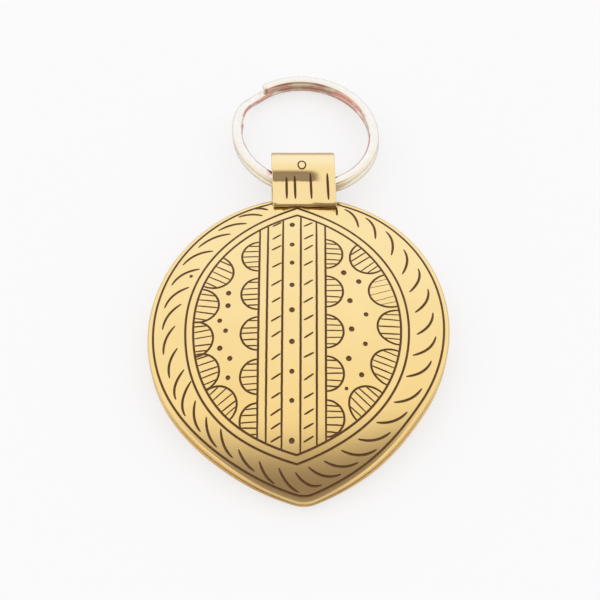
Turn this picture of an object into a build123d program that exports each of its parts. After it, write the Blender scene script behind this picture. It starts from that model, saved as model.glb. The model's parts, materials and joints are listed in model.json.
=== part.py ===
"""A small brass amulet box with a domed leaf-shaped face, a folded strap hanger and a split ring.

Millimetres. The box lies on its back: +Z is up, out of the engraved face, and +Y points to the ring.
The origin is on the table, under the centre of the round part of the leaf.
"""

import os
from math import asin, atan2, cos, degrees, hypot, radians, sin, sqrt, tan

from build123d import *

os.makedirs("parts", exist_ok=True)

# Leaf outline, seen from the front
body_radius = 23.8
flank_angle = 32.0  # the round part ends this far below the widest line
tip_reach = 28.0
tip_lean = 1.0  # tip and strap stand this far to the right of the middle
tip_round = 1.2

# Front shell: domed plate and the wall soldered under it
dome_radius = 72.0
tip_edge_height = 2.0
front_sheet = 0.8
front_edge_round = 0.35
wall_sheet = 0.7
wall_inset = 0.3

# Back: flat plate and the collar that slips inside the wall
back_sheet = 0.7
back_edge_round = 0.2
collar_sheet = 0.6
collar_headroom = 0.5  # from the top of the collar to the underside of the dome at its rim
collar_tip_gap = 9.0
slip_clearance = 0.1

# Split ring of flat wire, two turns with one crossing between them
ring_outer_radius = 12.5
wire_width = 2.0
wire_thickness = 0.8
wire_round = 0.25
turn_gap = 0.42
crossing_angle = 132.0
crossing_span = 28.0
crossing_sections = 9
wire_end_gap = 6.0
ring_shift = 0.5  # the ring rests this far to the right in the strap

# Hanger strap, folded from one strip of sheet
strap_sheet = 0.7
strap_width = 10.3
rear_leaf_height = 0.85
roll_radius = 2.75
leaf_lap = 2.3  # reach of the front leaf over the edge of the face
leaf_angle = 10.0  # slope of the front leaf
band_angle = 30.0  # slope of the band between the leaf and the roll
crease_back = 0.8  # from the crease between those two back to the ring's own hinge line
lip_bend = 0.75
lip_bed = 0.1  # the foot of the lip is drawn this far past the face before it is filed to fit
crease_bend = 0.6

# Room left round the ring where it runs through the strap, and under it where it lies on the table
loop_clearance = 0.2
edge_clearance = 0.1
table_clearance = 0.02

# Folded prayer paper inside, tied both ways with one thread
packet_length = 24.0
packet_width = 13.0
packet_thickness = 1.6
packet_round = 0.4
packet_flap = 0.3
packet_rim_gap = 6.1  # from the packet to the collar, on the side of the strap
thread_diameter = 0.5
knot_diameter = 1.1
knot_length = 0.9
knot_turn = 35.0


# Places worked out from the sizes above
tip_point = (tip_lean, -tip_reach)
dome_centre_height = tip_edge_height - sqrt(dome_radius**2 - tip_reach**2)
dome_inner_radius = dome_radius - front_sheet
apex_height = dome_centre_height + dome_radius
dome_inner_rim = dome_centre_height + sqrt(dome_inner_radius**2 - body_radius**2)
collar_height = dome_inner_rim - collar_headroom - back_sheet

collar_inset = wall_inset + wall_sheet + slip_clearance
packet_middle = body_radius - collar_inset - collar_sheet - packet_rim_gap - packet_width / 2

ring_inner_radius = ring_outer_radius - wire_width
ring_mean_radius = ring_outer_radius - wire_width / 2
turn_rise = wire_thickness + turn_gap
ring_half_thickness = wire_thickness + turn_gap / 2
strap_chord = sqrt(ring_inner_radius**2 - (strap_width / 2 + ring_shift) ** 2)
axis_to_ring_centre = (ring_outer_radius + strap_chord) / 2
ring_sweep_radius = hypot((ring_outer_radius - strap_chord) / 2, ring_half_thickness)
loop_half_height = ring_sweep_radius + loop_clearance

ring_axis_y = body_radius + edge_clearance + ring_sweep_radius
ring_axis_z = rear_leaf_height + strap_sheet + loop_half_height
ring_reach = axis_to_ring_centre + ring_outer_radius
ring_drop = asin((ring_axis_z - table_clearance) / hypot(ring_reach, ring_half_thickness))
ring_tilt = ring_drop - atan2(ring_half_thickness, ring_reach)


def dome_height(radius):
    """Height of the face of the dome above the table at this distance from its middle."""
    return dome_centre_height + sqrt(dome_radius**2 - radius**2)


def leaf_outline(inset):
    """Leaf-shaped face at table height, drawn in by inset all round."""
    with BuildSketch() as leaf:
        with BuildLine():
            crown = CenterArc((0, 0), body_radius, -flank_angle, 180 + 2 * flank_angle)
            TangentArc(crown @ 1, tip_point, tangent=crown % 1)
            TangentArc(crown @ 0, tip_point, tangent=(crown % 0) * -1)
        make_face()
        if inset > 0:
            offset(amount=-inset, kind=Kind.INTERSECTION)
        if tip_round > inset:
            fillet(leaf.vertices().sort_by(Axis.Y)[0], radius=tip_round - inset)
    return leaf.sketch


plate_outline = leaf_outline(0)
wall_outline = leaf_outline(wall_inset)
wall_inside = leaf_outline(wall_inset + wall_sheet)
collar_outline = leaf_outline(collar_inset)
collar_inside = leaf_outline(collar_inset + collar_sheet)


# Front plate: sheet raised into a shallow dome, its upper edge rounded over
with BuildPart() as front_plate:
    with BuildSketch():
        add(plate_outline)
    extrude(amount=apex_height)
    with Locations((0, 0, dome_centre_height)):
        Sphere(dome_radius, mode=Mode.INTERSECT)
        Sphere(dome_inner_radius, mode=Mode.SUBTRACT)
    face_edges = front_plate.faces().sort_by(SortBy.AREA)[-1].edges()
    fillet(face_edges, radius=front_edge_round)
front_plate.part.label = "front_plate"
export_step(front_plate.part, "parts/front_plate.step")


# Side wall: strip bent to the leaf outline, its upper edge filed to the inside of the dome
with BuildPart() as side_wall:
    with BuildSketch(Plane.XY.offset(back_sheet)):
        add(wall_outline)
    extrude(amount=apex_height)
    with Locations((0, 0, dome_centre_height)):
        Sphere(dome_inner_radius, mode=Mode.INTERSECT)
    with BuildSketch(Plane.XY.offset(back_sheet)):
        add(wall_inside)
    extrude(amount=apex_height, mode=Mode.SUBTRACT)
side_wall.part.label = "side_wall"
export_step(side_wall.part, "parts/side_wall.step")


# Back plate: flat sheet of the same outline, which the box lies on
with BuildPart() as back_plate:
    with BuildSketch():
        add(plate_outline)
    extrude(amount=back_sheet)
    rim_edges = back_plate.faces().filter_by(Axis.Z).edges()
    fillet(rim_edges, radius=back_edge_round)
back_plate.part.label = "back_plate"
export_step(back_plate.part, "parts/back_plate.step")


# Back collar: open band soldered on the back plate, a slip fit inside the wall, ends short of the tip
with BuildPart() as back_collar:
    with BuildSketch(Plane.XY.offset(back_sheet)):
        add(collar_outline)
        add(collar_inside, mode=Mode.SUBTRACT)
        with Locations((0, collar_tip_gap - tip_reach)):
            Rectangle(2 * body_radius, tip_reach, align=(Align.CENTER, Align.MAX), mode=Mode.SUBTRACT)
    extrude(amount=collar_height)
back_collar.part.label = "back_collar"
export_step(back_collar.part, "parts/back_collar.step")


# Hanger strap: lip on the dome, leaf over the ring, slope up to the roll, then back under the ring
leaf_rise = loop_half_height + strap_sheet / 2
crease_y = ring_axis_y - crease_back
crease_z = ring_axis_z + leaf_rise / cos(radians(leaf_angle)) - crease_back * tan(radians(leaf_angle))
lip_y = body_radius - leaf_lap + strap_sheet / 2
lip_z = crease_z - (crease_y - lip_y) * tan(radians(leaf_angle))
lip_foot_z = dome_height(hypot(lip_y, tip_lean + strap_width / 2)) - lip_bed
roll_mid_radius = roll_radius + strap_sheet / 2
roll_z = rear_leaf_height + strap_sheet / 2 + roll_mid_radius
band_top_z = roll_z + roll_mid_radius * cos(radians(band_angle))
band_top_y = crease_y + (band_top_z - crease_z) / tan(radians(band_angle))
roll_y = band_top_y + roll_mid_radius * sin(radians(band_angle))

with BuildPart() as hanger_strap:
    with BuildSketch(Plane.YZ.offset(tip_lean)):
        with BuildLine():
            FilletPolyline(
                (lip_y, lip_foot_z),
                (lip_y, lip_z),
                (crease_y, crease_z),
                (band_top_y, band_top_z),
                radius=[lip_bend, crease_bend],
            )
            CenterArc((roll_y, roll_z), roll_mid_radius, 90 + band_angle, -180 - band_angle)
        trace(line_width=strap_sheet)
    extrude(amount=strap_width / 2, both=True)
    with BuildSketch(Plane.XY.offset(rear_leaf_height)):
        with Locations((tip_lean, roll_y)):
            Rectangle(strap_width, roll_y, align=(Align.CENTER, Align.MAX))
        add(wall_outline, mode=Mode.SUBTRACT)
    extrude(amount=strap_sheet)
    add(front_plate.part, mode=Mode.SUBTRACT)
hanger_strap.part.label = "hanger_strap"
export_step(hanger_strap.part, "parts/hanger_strap.step")


# Split ring: a lower and an upper turn of flat wire, joined by the crossing
ring_centre = (
    tip_lean + ring_shift,
    ring_axis_y + axis_to_ring_centre * cos(ring_tilt),
    ring_axis_z - axis_to_ring_centre * sin(ring_tilt),
)
ring_plane = Plane(origin=ring_centre, x_dir=(1, 0, 0), z_dir=(0, sin(ring_tilt), cos(ring_tilt)))
ring_axis = Axis(ring_plane.origin, ring_plane.z_dir)
turn_arc = 360 - crossing_span - wire_end_gap


def wire_plane(angle, rise):
    """Plane across the wire at this angle round the ring, lifted by rise along the ring's axis."""
    outward = ring_plane.x_dir * cos(radians(angle)) + ring_plane.y_dir * sin(radians(angle))
    return Plane(
        origin=ring_plane.origin + ring_plane.z_dir * rise,
        x_dir=outward,
        z_dir=outward.cross(ring_plane.z_dir),
    )


def crossing_rise(share):
    """Height of the wire along the crossing, from the lower turn at 0 to the upper turn at 1."""
    return turn_rise * (share * share * (3 - 2 * share) - 0.5)


with BuildPart() as split_ring:
    for start, rise in (
        (crossing_angle + crossing_span + wire_end_gap, -turn_rise / 2),
        (crossing_angle + crossing_span, turn_rise / 2),
    ):
        with BuildSketch(wire_plane(start, rise)):
            with Locations((ring_mean_radius, 0)):
                RectangleRounded(wire_width, wire_thickness, wire_round)
        revolve(axis=ring_axis, revolution_arc=turn_arc)
    for step in range(crossing_sections):
        share = step / (crossing_sections - 1)
        with BuildSketch(wire_plane(crossing_angle + crossing_span * share, crossing_rise(share))):
            with Locations((ring_mean_radius, 0)):
                RectangleRounded(wire_width, wire_thickness, wire_round)
    loft()
split_ring.part.label = "split_ring"
export_step(split_ring.part, "parts/split_ring.step")


# Prayer packet: folded paper lying on its thread, with the last fold as a thin flap on top
packet_floor = back_sheet + thread_diameter
packet_top = packet_floor + packet_thickness
with BuildPart() as prayer_packet:
    with BuildSketch(Plane.XY.offset(packet_floor)):
        with Locations((0, packet_middle)):
            Rectangle(packet_length, packet_width)
    extrude(amount=packet_thickness - packet_flap)
    fillet(prayer_packet.faces().filter_by(Axis.Z).edges(), radius=packet_round)
    with BuildSketch(Plane.XY.offset(packet_top - packet_flap)):
        with Locations((0, packet_middle)):
            Rectangle(packet_length - 2 * packet_round, packet_width - 2 * packet_round)
    extrude(amount=packet_flap)
prayer_packet.part.label = "prayer_packet"
export_step(prayer_packet.part, "parts/prayer_packet.step")


# Binding thread: one loop round the packet each way, with the knot where they cross on top
thread_top = packet_top + thread_diameter / 2
thread_bottom = packet_floor - thread_diameter / 2
with BuildPart() as binding_thread:
    for middle, packet_side, loop_plane in (
        (0, packet_length, Plane.XZ.offset(-packet_middle)),
        (packet_middle, packet_width, Plane.YZ),
    ):
        low = middle - packet_side / 2 - thread_diameter / 2
        high = middle + packet_side / 2 + thread_diameter / 2
        with BuildLine(loop_plane):
            loop = FilletPolyline(
                (low, thread_bottom),
                (high, thread_bottom),
                (high, thread_top),
                (low, thread_top),
                radius=thread_diameter,
                close=True,
            )
        with BuildSketch(Plane(loop @ 0, z_dir=loop % 0)):
            Circle(thread_diameter / 2)
        sweep()
    with Locations((0, packet_middle, packet_top + knot_diameter / 2)):
        Cylinder(knot_diameter / 2, knot_length, rotation=(90, 0, knot_turn))
binding_thread.part.label = "binding_thread"
export_step(binding_thread.part, "parts/binding_thread.step")


# Sizes that the joints, the mounts and the fits need
end_gap = radians(wire_end_gap) * ring_inner_radius
print(f"apex {apex_height:.2f}, rim {dome_height(body_radius):.2f}")
print(f"ring axis y {ring_axis_y:.3f} z {ring_axis_z:.3f}, tilt {degrees(ring_tilt):.2f} degrees")
print(f"ring centre y {ring_centre[1]:.2f} z {ring_centre[2]:.2f}, sweep radius {ring_sweep_radius:.3f}")
print(f"split ring least gap to itself {min(turn_gap, end_gap):.2f}")
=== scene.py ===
"""Dresses the brass amulet box: engraved face, folded strap, split ring, plain back and the packet inside.

Sizes are in millimetres, in the part's own frame, and become metres only where a mesh is made.
The box lies on its back: +Z is up, out of the engraved face, and +Y points to the ring.
"""

import json
import logging
import math
import random
from collections.abc import Callable, Sequence
from dataclasses import dataclass, field, replace
from enum import Enum

import bpy
import numpy as np
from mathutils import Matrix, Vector
from mathutils.geometry import delaunay_2d_cdt


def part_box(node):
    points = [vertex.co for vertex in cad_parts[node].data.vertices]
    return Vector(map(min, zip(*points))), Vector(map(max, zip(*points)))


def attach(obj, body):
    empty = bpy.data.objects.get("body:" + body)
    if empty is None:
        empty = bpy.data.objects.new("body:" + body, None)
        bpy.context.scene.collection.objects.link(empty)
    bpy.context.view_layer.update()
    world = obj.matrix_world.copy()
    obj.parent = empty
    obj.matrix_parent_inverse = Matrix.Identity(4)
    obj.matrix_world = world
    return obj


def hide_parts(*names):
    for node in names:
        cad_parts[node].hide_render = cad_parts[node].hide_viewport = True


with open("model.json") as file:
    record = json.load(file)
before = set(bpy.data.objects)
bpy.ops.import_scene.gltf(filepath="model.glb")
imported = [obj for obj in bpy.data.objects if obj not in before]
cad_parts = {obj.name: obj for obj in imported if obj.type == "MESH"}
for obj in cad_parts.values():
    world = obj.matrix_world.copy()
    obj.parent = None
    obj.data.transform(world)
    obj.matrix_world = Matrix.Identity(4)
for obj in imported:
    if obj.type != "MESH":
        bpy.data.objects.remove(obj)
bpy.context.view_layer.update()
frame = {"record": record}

LOG = logging.getLogger("amulet_box")
MM = 0.001
SEED = 7
# The lip of the strap stands this far down the face from its place in the frame.
LIP_DROP = 0.35

Point = tuple[float, float]
Light = tuple[float, float, float, float]
Socket = bpy.types.NodeSocket


# Colour and nodes


def linear(hex_colour: str) -> tuple[float, float, float, float]:
    """Turns an sRGB hex colour into linear values with full alpha.

    Args:
        hex_colour: Colour such as "#F6D595".

    Returns:
        Red, green, blue and alpha, linear.
    """
    parts = [int(hex_colour[place : place + 2], 16) / 255 for place in (1, 3, 5)]
    flat = [part / 12.92 if part <= 0.04045 else ((part + 0.055) / 1.055) ** 2.4 for part in parts]
    return (flat[0], flat[1], flat[2], 1.0)


def per_mm(size: float) -> float:
    """Scale of a texture, read in metres, whose features are this many millimetres wide."""
    return 1 / (size * MM)


def add_node(
    tree: bpy.types.NodeTree,
    kind: str,
    settings: dict[str | int, object] | None = None,
    links: dict[str | int, Socket] | None = None,
) -> bpy.types.Node:
    """Adds a node with its settings and links.

    Args:
        tree: Node tree that takes the node.
        kind: Blender's type name of the node.
        settings: Properties by name, or values of unlinked inputs by name or place.
        links: Sockets that feed inputs, by the input's name or place.

    Returns:
        The new node.
    """
    node = tree.nodes.new(kind)
    for key, value in (settings or {}).items():
        if isinstance(key, str) and hasattr(node, key):
            setattr(node, key, value)
        else:
            node.inputs[key].default_value = value
    for key, socket in (links or {}).items():
        tree.links.new(socket, node.inputs[key])
    return node


def start_material(name: str) -> tuple[bpy.types.Material, bpy.types.NodeTree, bpy.types.Node]:
    """Makes a material with only its shader and output.

    Args:
        name: Name of the material.

    Returns:
        The material, its tree and its Principled shader.
    """
    material = bpy.data.materials.new(name)
    material.use_nodes = True
    tree = material.node_tree
    tree.nodes.clear()
    shader = add_node(tree, "ShaderNodeBsdfPrincipled")
    add_node(tree, "ShaderNodeOutputMaterial", links={"Surface": shader.outputs["BSDF"]})
    return material, tree, shader


# Finishes


def mottled(
    tree: bpy.types.NodeTree, place: Socket, size: float, detail: float, colours: tuple[str, str]
) -> tuple[Socket, Socket]:
    """Blends two colours in soft patches.

    Args:
        tree: Node tree that takes the nodes.
        place: Socket that gives the place on the piece.
        size: Size of the patches in millimetres.
        detail: Octaves of finer patches.
        colours: Hex colours where the noise is low and where it is high.

    Returns:
        The noise and the blended colour.
    """
    settings = {"Scale": per_mm(size), "Detail": detail}
    noise = add_node(tree, "ShaderNodeTexNoise", settings, {"Vector": place}).outputs["Fac"]
    settings = {"data_type": "RGBA", 6: linear(colours[0]), 7: linear(colours[1])}
    return noise, add_node(tree, "ShaderNodeMix", settings, {0: noise}).outputs[2]


@dataclass(frozen=True)
class PolishedBrass:
    """Brass sheet, planished with a hammer and polished by hand."""

    name: str
    bright: str = "#EED497"
    deep: str = "#E7CA85"
    roughness: float = 0.13
    cloud: float = 7.0
    planish: float = 5.0
    planish_height: float = 0.012
    # Real hairlines are some hundredths of a millimetre wide, and are drawn coarser to be seen at all.
    scratch: float = 0.5
    scratch_height: float = 0.0012
    scratch_stretch: float = 14.0
    scratch_turns: Point = (0.4, 1.9)

    def build(self) -> bpy.types.Material:
        """Builds the material.

        Returns:
            A pale gold metal whose reflections waver over hammer facets and blur along hairline scratches.
        """
        material, tree, shader = start_material(self.name)
        place = add_node(tree, "ShaderNodeTexCoord").outputs["Object"]
        cloud, tint = mottled(tree, place, self.cloud, 5.0, (self.bright, self.deep))
        height = None
        for turn in self.scratch_turns:
            along = add_node(
                tree,
                "ShaderNodeMapping",
                {"Rotation": (0.0, 0.0, turn), "Scale": (1.0, self.scratch_stretch, 1.0)},
                {"Vector": place},
            )
            hairs = add_node(
                tree,
                "ShaderNodeTexNoise",
                {"Scale": per_mm(self.scratch * self.scratch_stretch), "Detail": 3.0},
                {"Vector": along.outputs["Vector"]},
            )
            settings = {"Strength": 1.0, "Distance": self.scratch_height * MM}
            links = {"Height": hairs.outputs["Fac"]}
            if height is not None:
                links["Normal"] = height.outputs["Normal"]
            height = add_node(tree, "ShaderNodeBump", settings, links)
        dents = add_node(
            tree, "ShaderNodeTexNoise", {"Scale": per_mm(self.planish), "Detail": 1.0}, {"Vector": place}
        )
        facets = add_node(
            tree,
            "ShaderNodeBump",
            {"Strength": 1.0, "Distance": self.planish_height * MM},
            {"Height": dents.outputs["Fac"], "Normal": height.outputs["Normal"]},
        )
        blur = add_node(
            tree,
            "ShaderNodeMapRange",
            {"To Min": self.roughness * 0.8, "To Max": self.roughness * 1.3},
            {"Value": cloud},
        )
        shader.inputs["Metallic"].default_value = 1.0
        tree.links.new(tint, shader.inputs["Base Color"])
        tree.links.new(blur.outputs["Result"], shader.inputs["Roughness"])
        tree.links.new(facets.outputs["Normal"], shader.inputs["Normal"])
        return material


@dataclass(frozen=True)
class PatinaAndPaintedShade:
    """Old polish and tarnish that has dried in the cuts, also used as painted shade on the strap's lip."""

    name: str = "dark_patina"
    dark: str = "#56371A"
    light: str = "#7F5A2C"
    roughness: float = 0.55
    grain: float = 0.6

    def build(self) -> bpy.types.Material:
        """Builds the material.

        Returns:
            A dull brown crust, paler where the polishing cloth has reached into the cut. On the strap's lip
            the same browns are painted shade.
        """
        material, tree, shader = start_material(self.name)
        place = add_node(tree, "ShaderNodeTexCoord").outputs["Object"]
        _, tint = mottled(tree, place, self.grain, 3.0, (self.dark, self.light))
        shader.inputs["Metallic"].default_value = 0.2
        shader.inputs["Roughness"].default_value = self.roughness
        tree.links.new(tint, shader.inputs["Base Color"])
        return material


@dataclass(frozen=True)
class NickelPlate:
    """Bright nickel plate over copper on spring steel wire, worn by keys and cords.

    Copper tint shows where the noise of the patches rises from the first to the second given value: worn
    plate on the outside of the ring, painted pink reflection of the brass strap on its inner side.
    """

    name: str
    wear_and_reflection: Point
    bright: str = "#EDE8D6"
    worn: str = "#E1D7C4"
    # Rosy tint: worn-through copper on the outside, painted reflection of the brass strap on the ring's inner
    # side.
    copper: str = "#D6A89C"
    roughness: float = 0.14
    scuff: float = 0.8
    patch: float = 3.5

    def build(self) -> bpy.types.Material:
        """Builds the material.

        Returns:
            A near-white mirror with a faint warm cast, cloudy scuffs and rosy copper patches, which on the
            ring's inner side are painted reflection.
        """
        material, tree, shader = start_material(self.name)
        place = add_node(tree, "ShaderNodeTexCoord").outputs["Object"]
        scuffs, plate = mottled(tree, place, self.scuff, 6.0, (self.bright, self.worn))
        patches = add_node(
            tree, "ShaderNodeTexNoise", {"Scale": per_mm(self.patch), "Detail": 2.0}, {"Vector": place}
        )
        # Share of rosy tint, from the patches' noise.
        wear_and_reflection = add_node(
            tree,
            "ShaderNodeMapRange",
            {"From Min": self.wear_and_reflection[0], "From Max": self.wear_and_reflection[1]},
            {"Value": patches.outputs["Fac"]},
        )
        tint = add_node(
            tree,
            "ShaderNodeMix",
            {"data_type": "RGBA", 7: linear(self.copper)},
            {0: wear_and_reflection.outputs["Result"], 6: plate},
        )
        blur = add_node(
            tree,
            "ShaderNodeMapRange",
            {"To Min": self.roughness * 0.6, "To Max": self.roughness * 1.6},
            {"Value": scuffs},
        )
        shader.inputs["Metallic"].default_value = 1.0
        tree.links.new(tint.outputs[2], shader.inputs["Base Color"])
        tree.links.new(blur.outputs["Result"], shader.inputs["Roughness"])
        return material


@dataclass(frozen=True)
class HandmadePaper:
    """Thick bark paper, folded small and carried for years."""

    name: str = "handmade_bark_paper"
    pale: str = "#DCC9A0"
    stained: str = "#B89B66"
    # Bark fibres are finer than this, and are drawn coarser to be seen at all.
    fibre: float = 0.35
    stain: float = 4.0
    fibre_height: float = 0.03

    def build(self) -> bpy.types.Material:
        """Builds the material.

        Returns:
            A matt cream paper with long fibres in it and brown stains.
        """
        material, tree, shader = start_material(self.name)
        place = add_node(tree, "ShaderNodeTexCoord").outputs["Object"]
        _, tint = mottled(tree, place, self.stain, 6.0, (self.pale, self.stained))
        fibres = add_node(
            tree, "ShaderNodeTexNoise", {"Scale": per_mm(self.fibre), "Detail": 4.0}, {"Vector": place}
        )
        fuzz = add_node(
            tree,
            "ShaderNodeBump",
            {"Strength": 1.0, "Distance": self.fibre_height * MM},
            {"Height": fibres.outputs["Fac"]},
        )
        shader.inputs["Roughness"].default_value = 0.9
        tree.links.new(tint, shader.inputs["Base Color"])
        tree.links.new(fuzz.outputs["Normal"], shader.inputs["Normal"])
        return material


@dataclass(frozen=True)
class TwistedCotton:
    """Red cotton thread, two plies twisted together."""

    name: str = "red_cotton_thread"
    bright: str = "#A8302B"
    dull: str = "#7B1E1C"
    # Cotton fibres are about 0.02 mm thick, and are drawn coarser to be seen at all.
    fuzz: float = 0.25

    def build(self) -> bpy.types.Material:
        """Builds the material.

        Returns:
            A matt red with duller fibres in it.
        """
        material, tree, shader = start_material(self.name)
        place = add_node(tree, "ShaderNodeTexCoord").outputs["Object"]
        _, tint = mottled(tree, place, self.fuzz, 3.0, (self.bright, self.dull))
        shader.inputs["Roughness"].default_value = 0.85
        shader.inputs["Sheen Weight"].default_value = 0.3
        tree.links.new(tint, shader.inputs["Base Color"])
        return material


@dataclass(frozen=True)
class PaleFloor:
    """White card that the box lies on."""

    name: str = "white_card"
    colour: str = "#FDFDFD"
    lift: float = 0.66

    def build(self) -> bpy.types.Material:
        """Builds the material.

        Returns:
            A matt white, lifted for the camera so that its shadow stays as faint as on a light table.
        """
        material, tree, shader = start_material(self.name)
        shader.inputs["Base Color"].default_value = linear(self.colour)
        shader.inputs["Roughness"].default_value = 1.0
        shader.inputs["Specular IOR Level"].default_value = 0.0
        path = add_node(tree, "ShaderNodeLightPath")
        settings = {"operation": "MULTIPLY", 1: self.lift}
        share = add_node(tree, "ShaderNodeMath", settings, {0: path.outputs["Is Camera Ray"]})
        white = add_node(tree, "ShaderNodeEmission", {"Color": (1.0, 1.0, 1.0, 1.0), "Strength": 1.0})
        mixed = add_node(
            tree,
            "ShaderNodeMixShader",
            links={0: share.outputs[0], 1: shader.outputs["BSDF"], 2: white.outputs["Emission"]},
        )
        output = tree.nodes["Material Output"]
        tree.links.new(mixed.outputs[0], output.inputs["Surface"])
        return material


# Lines and meshes


def bezier(p0: Point, p1: Point, p2: Point, p3: Point, count: int) -> np.ndarray:
    """Points on a cubic curve.

    Args:
        p0: Start.
        p1: First handle.
        p2: Second handle.
        p3: End.
        count: How many points.

    Returns:
        Array of points, both ends included.
    """
    t = np.linspace(0, 1, count)[:, None]
    near = (1 - t) ** 3 * np.array(p0) + 3 * (1 - t) ** 2 * t * np.array(p1)
    far = 3 * (1 - t) * t**2 * np.array(p2) + t**3 * np.array(p3)
    return near + far


def lengths_along(points: np.ndarray) -> np.ndarray:
    """Distance of each point from the first, along the line."""
    return np.concatenate([[0.0], np.cumsum(np.linalg.norm(np.diff(points, axis=0), axis=1))])


def respaced(points: np.ndarray, step: float) -> np.ndarray:
    """The same line with points about this far apart.

    Args:
        points: Points of an open line.
        step: Spacing to aim for.

    Returns:
        Evenly spaced points, both ends included.
    """
    along = lengths_along(points)
    count = max(2, math.ceil(along[-1] / step) + 1)
    places = np.linspace(0, along[-1], count)
    return np.stack([np.interp(places, along, points[:, axis]) for axis in range(points.shape[1])], axis=1)


def unit_runs(points: np.ndarray, closed: bool) -> np.ndarray:
    """Unit ways along a line.

    Args:
        points: Points of the line.
        closed: Whether the last point joins the first.

    Returns:
        One way for each point.
    """
    if closed:
        run = np.roll(points, -1, axis=0) - np.roll(points, 1, axis=0)
    else:
        run = np.gradient(points, axis=0)
    return run / np.linalg.norm(run, axis=1)[:, None]


def left_normals(points: np.ndarray, closed: bool) -> np.ndarray:
    """Unit normals to the left of a flat line, one for each point."""
    run = unit_runs(points, closed)
    return np.stack([-run[:, 1], run[:, 0]], axis=1)


def smooth_share(values: np.ndarray, start: float, end: float) -> np.ndarray:
    """Share of the way from start to end, from 0 to 1, with a soft beginning and end."""
    share = np.clip((values - start) / (end - start), 0, 1)
    return share * share * (3 - 2 * share)


def within(polygon: np.ndarray, points: np.ndarray) -> np.ndarray:
    """Says which points lie in a polygon.

    Args:
        polygon: Corners in order.
        points: Points to test.

    Returns:
        One true or false for each point.
    """
    inside = np.zeros(len(points), dtype=bool)
    for (x0, y0), (x1, y1) in zip(polygon, np.roll(polygon, -1, axis=0)):
        spans = (y0 > points[:, 1]) != (y1 > points[:, 1])
        if y0 != y1:
            crossing = x0 + (points[:, 1] - y0) * (x1 - x0) / (y1 - y0)
            inside ^= spans & (points[:, 0] < crossing)
    return inside


class MeshBuild:
    """Gathers points, faces and corner normals, then makes one mesh object of them."""

    def __init__(self) -> None:
        """Starts with nothing."""
        self.points: list[np.ndarray] = []
        self.count = 0
        self.faces: list[tuple[int, ...]] = []
        self.slots: list[int] = []
        self.normals: dict[int, np.ndarray] = {}

    def add_points(self, points: np.ndarray) -> int:
        """Adds points in millimetres.

        Args:
            points: Array with x, y and z in each row.

        Returns:
            Number of the first of them.
        """
        first = self.count
        self.points.append(np.asarray(points, dtype=float))
        self.count += len(points)
        return first

    def add_face(self, corners: Sequence[int], normals: np.ndarray | None = None, slot: int = 0) -> None:
        """Adds one face.

        Args:
            corners: Numbers of its points.
            normals: A normal for each corner where it is shaded smooth.
            slot: Number of its finish.
        """
        if normals is not None:
            self.normals[len(self.faces)] = normals
        self.faces.append(tuple(int(corner) for corner in corners))
        self.slots.append(slot)

    def add_bands(
        self,
        rings: Sequence[np.ndarray],
        normals: Sequence[np.ndarray] | None = None,
        first_ring: Sequence[int] | None = None,
        endless: bool = False,
    ) -> list[list[int]]:
        """Joins closed rings of points, each as long as the others, into bands of four-sided faces.

        Args:
            rings: Rings in order. The first is skipped where first_ring is given.
            normals: Normals for each ring's points.
            first_ring: Numbers of points that are there already.
            endless: Whether the last ring joins the first.

        Returns:
            Numbers of the points of each ring.
        """
        numbers: list[list[int]] = []
        for place, ring in enumerate(rings):
            if place == 0 and first_ring is not None:
                numbers.append([int(number) for number in first_ring])
                continue
            start = self.add_points(ring)
            numbers.append(list(range(start, start + len(ring))))
        size = len(rings[0])
        for place in range(len(rings) if endless else len(rings) - 1):
            below, above = numbers[place], numbers[(place + 1) % len(rings)]
            for near in range(size):
                far = (near + 1) % size
                corners = (below[near], below[far], above[far], above[near])
                shading = None
                if normals is not None:
                    low, high = normals[place], normals[(place + 1) % len(rings)]
                    shading = np.array([low[near], low[far], high[far], high[near]])
                self.add_face(corners, shading)
        return numbers

    def make(self, name: str, finishes: Sequence[bpy.types.Material]) -> bpy.types.Object:
        """Makes the object.

        Args:
            name: Name of the piece.
            finishes: Materials, in the order of the faces' slots.

        Returns:
            The object, linked to the scene.
        """
        points = np.concatenate(self.points) * MM
        mesh = bpy.data.meshes.new(name)
        mesh.from_pydata([tuple(point) for point in points], [], self.faces)
        for finish in finishes:
            mesh.materials.append(finish)
        mesh.polygons.foreach_set("material_index", self.slots)
        mesh.polygons.foreach_set("use_smooth", [True] * len(self.faces))
        shading: list[tuple[float, float, float]] = []
        for polygon in mesh.polygons:
            known = self.normals.get(polygon.index)
            if known is None:
                shading.extend([tuple(polygon.normal)] * len(polygon.vertices))
            else:
                shading.extend(tuple(normal) for normal in known)
        mesh.normals_split_custom_set(shading)
        mesh.update()
        piece = bpy.data.objects.new(name, mesh)
        bpy.context.collection.objects.link(piece)
        return piece


def settle(piece: bpy.types.Object, body: str, node: str) -> None:
    """Puts a piece in place of a CAD node and logs it.

    Args:
        piece: The finished piece.
        body: Body that it moves with.
        node: CAD node that it stands for.
    """
    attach(piece, body)
    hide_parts(node)
    LOG.info("%s: %d faces, rides on %s", piece.name, len(piece.data.polygons), body)


def box_mm(node: str) -> tuple[np.ndarray, np.ndarray]:
    """Lowest and highest corner of a CAD node, in millimetres."""
    low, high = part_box(node)
    return np.array(low) / MM, np.array(high) / MM


# Engraving


class Surface(Enum):
    """Faces of an engraved sheet by finish, numbered as its material slots."""

    POLISHED = 0
    CUT = 1
    # Lip of the strap, painted dark as shade of the gap under the leaf's end, partly tarnish.
    LIP = 2


@dataclass
class Stroke:
    """A line cut with a V-shaped graver.

    The half widths belong to the points, so a stroke can swell and run out.
    """

    points: np.ndarray
    half_widths: np.ndarray
    closed: bool = False


@dataclass
class PunchMark:
    """A round dent from a punch."""

    centre: Point
    radius: float


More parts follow.
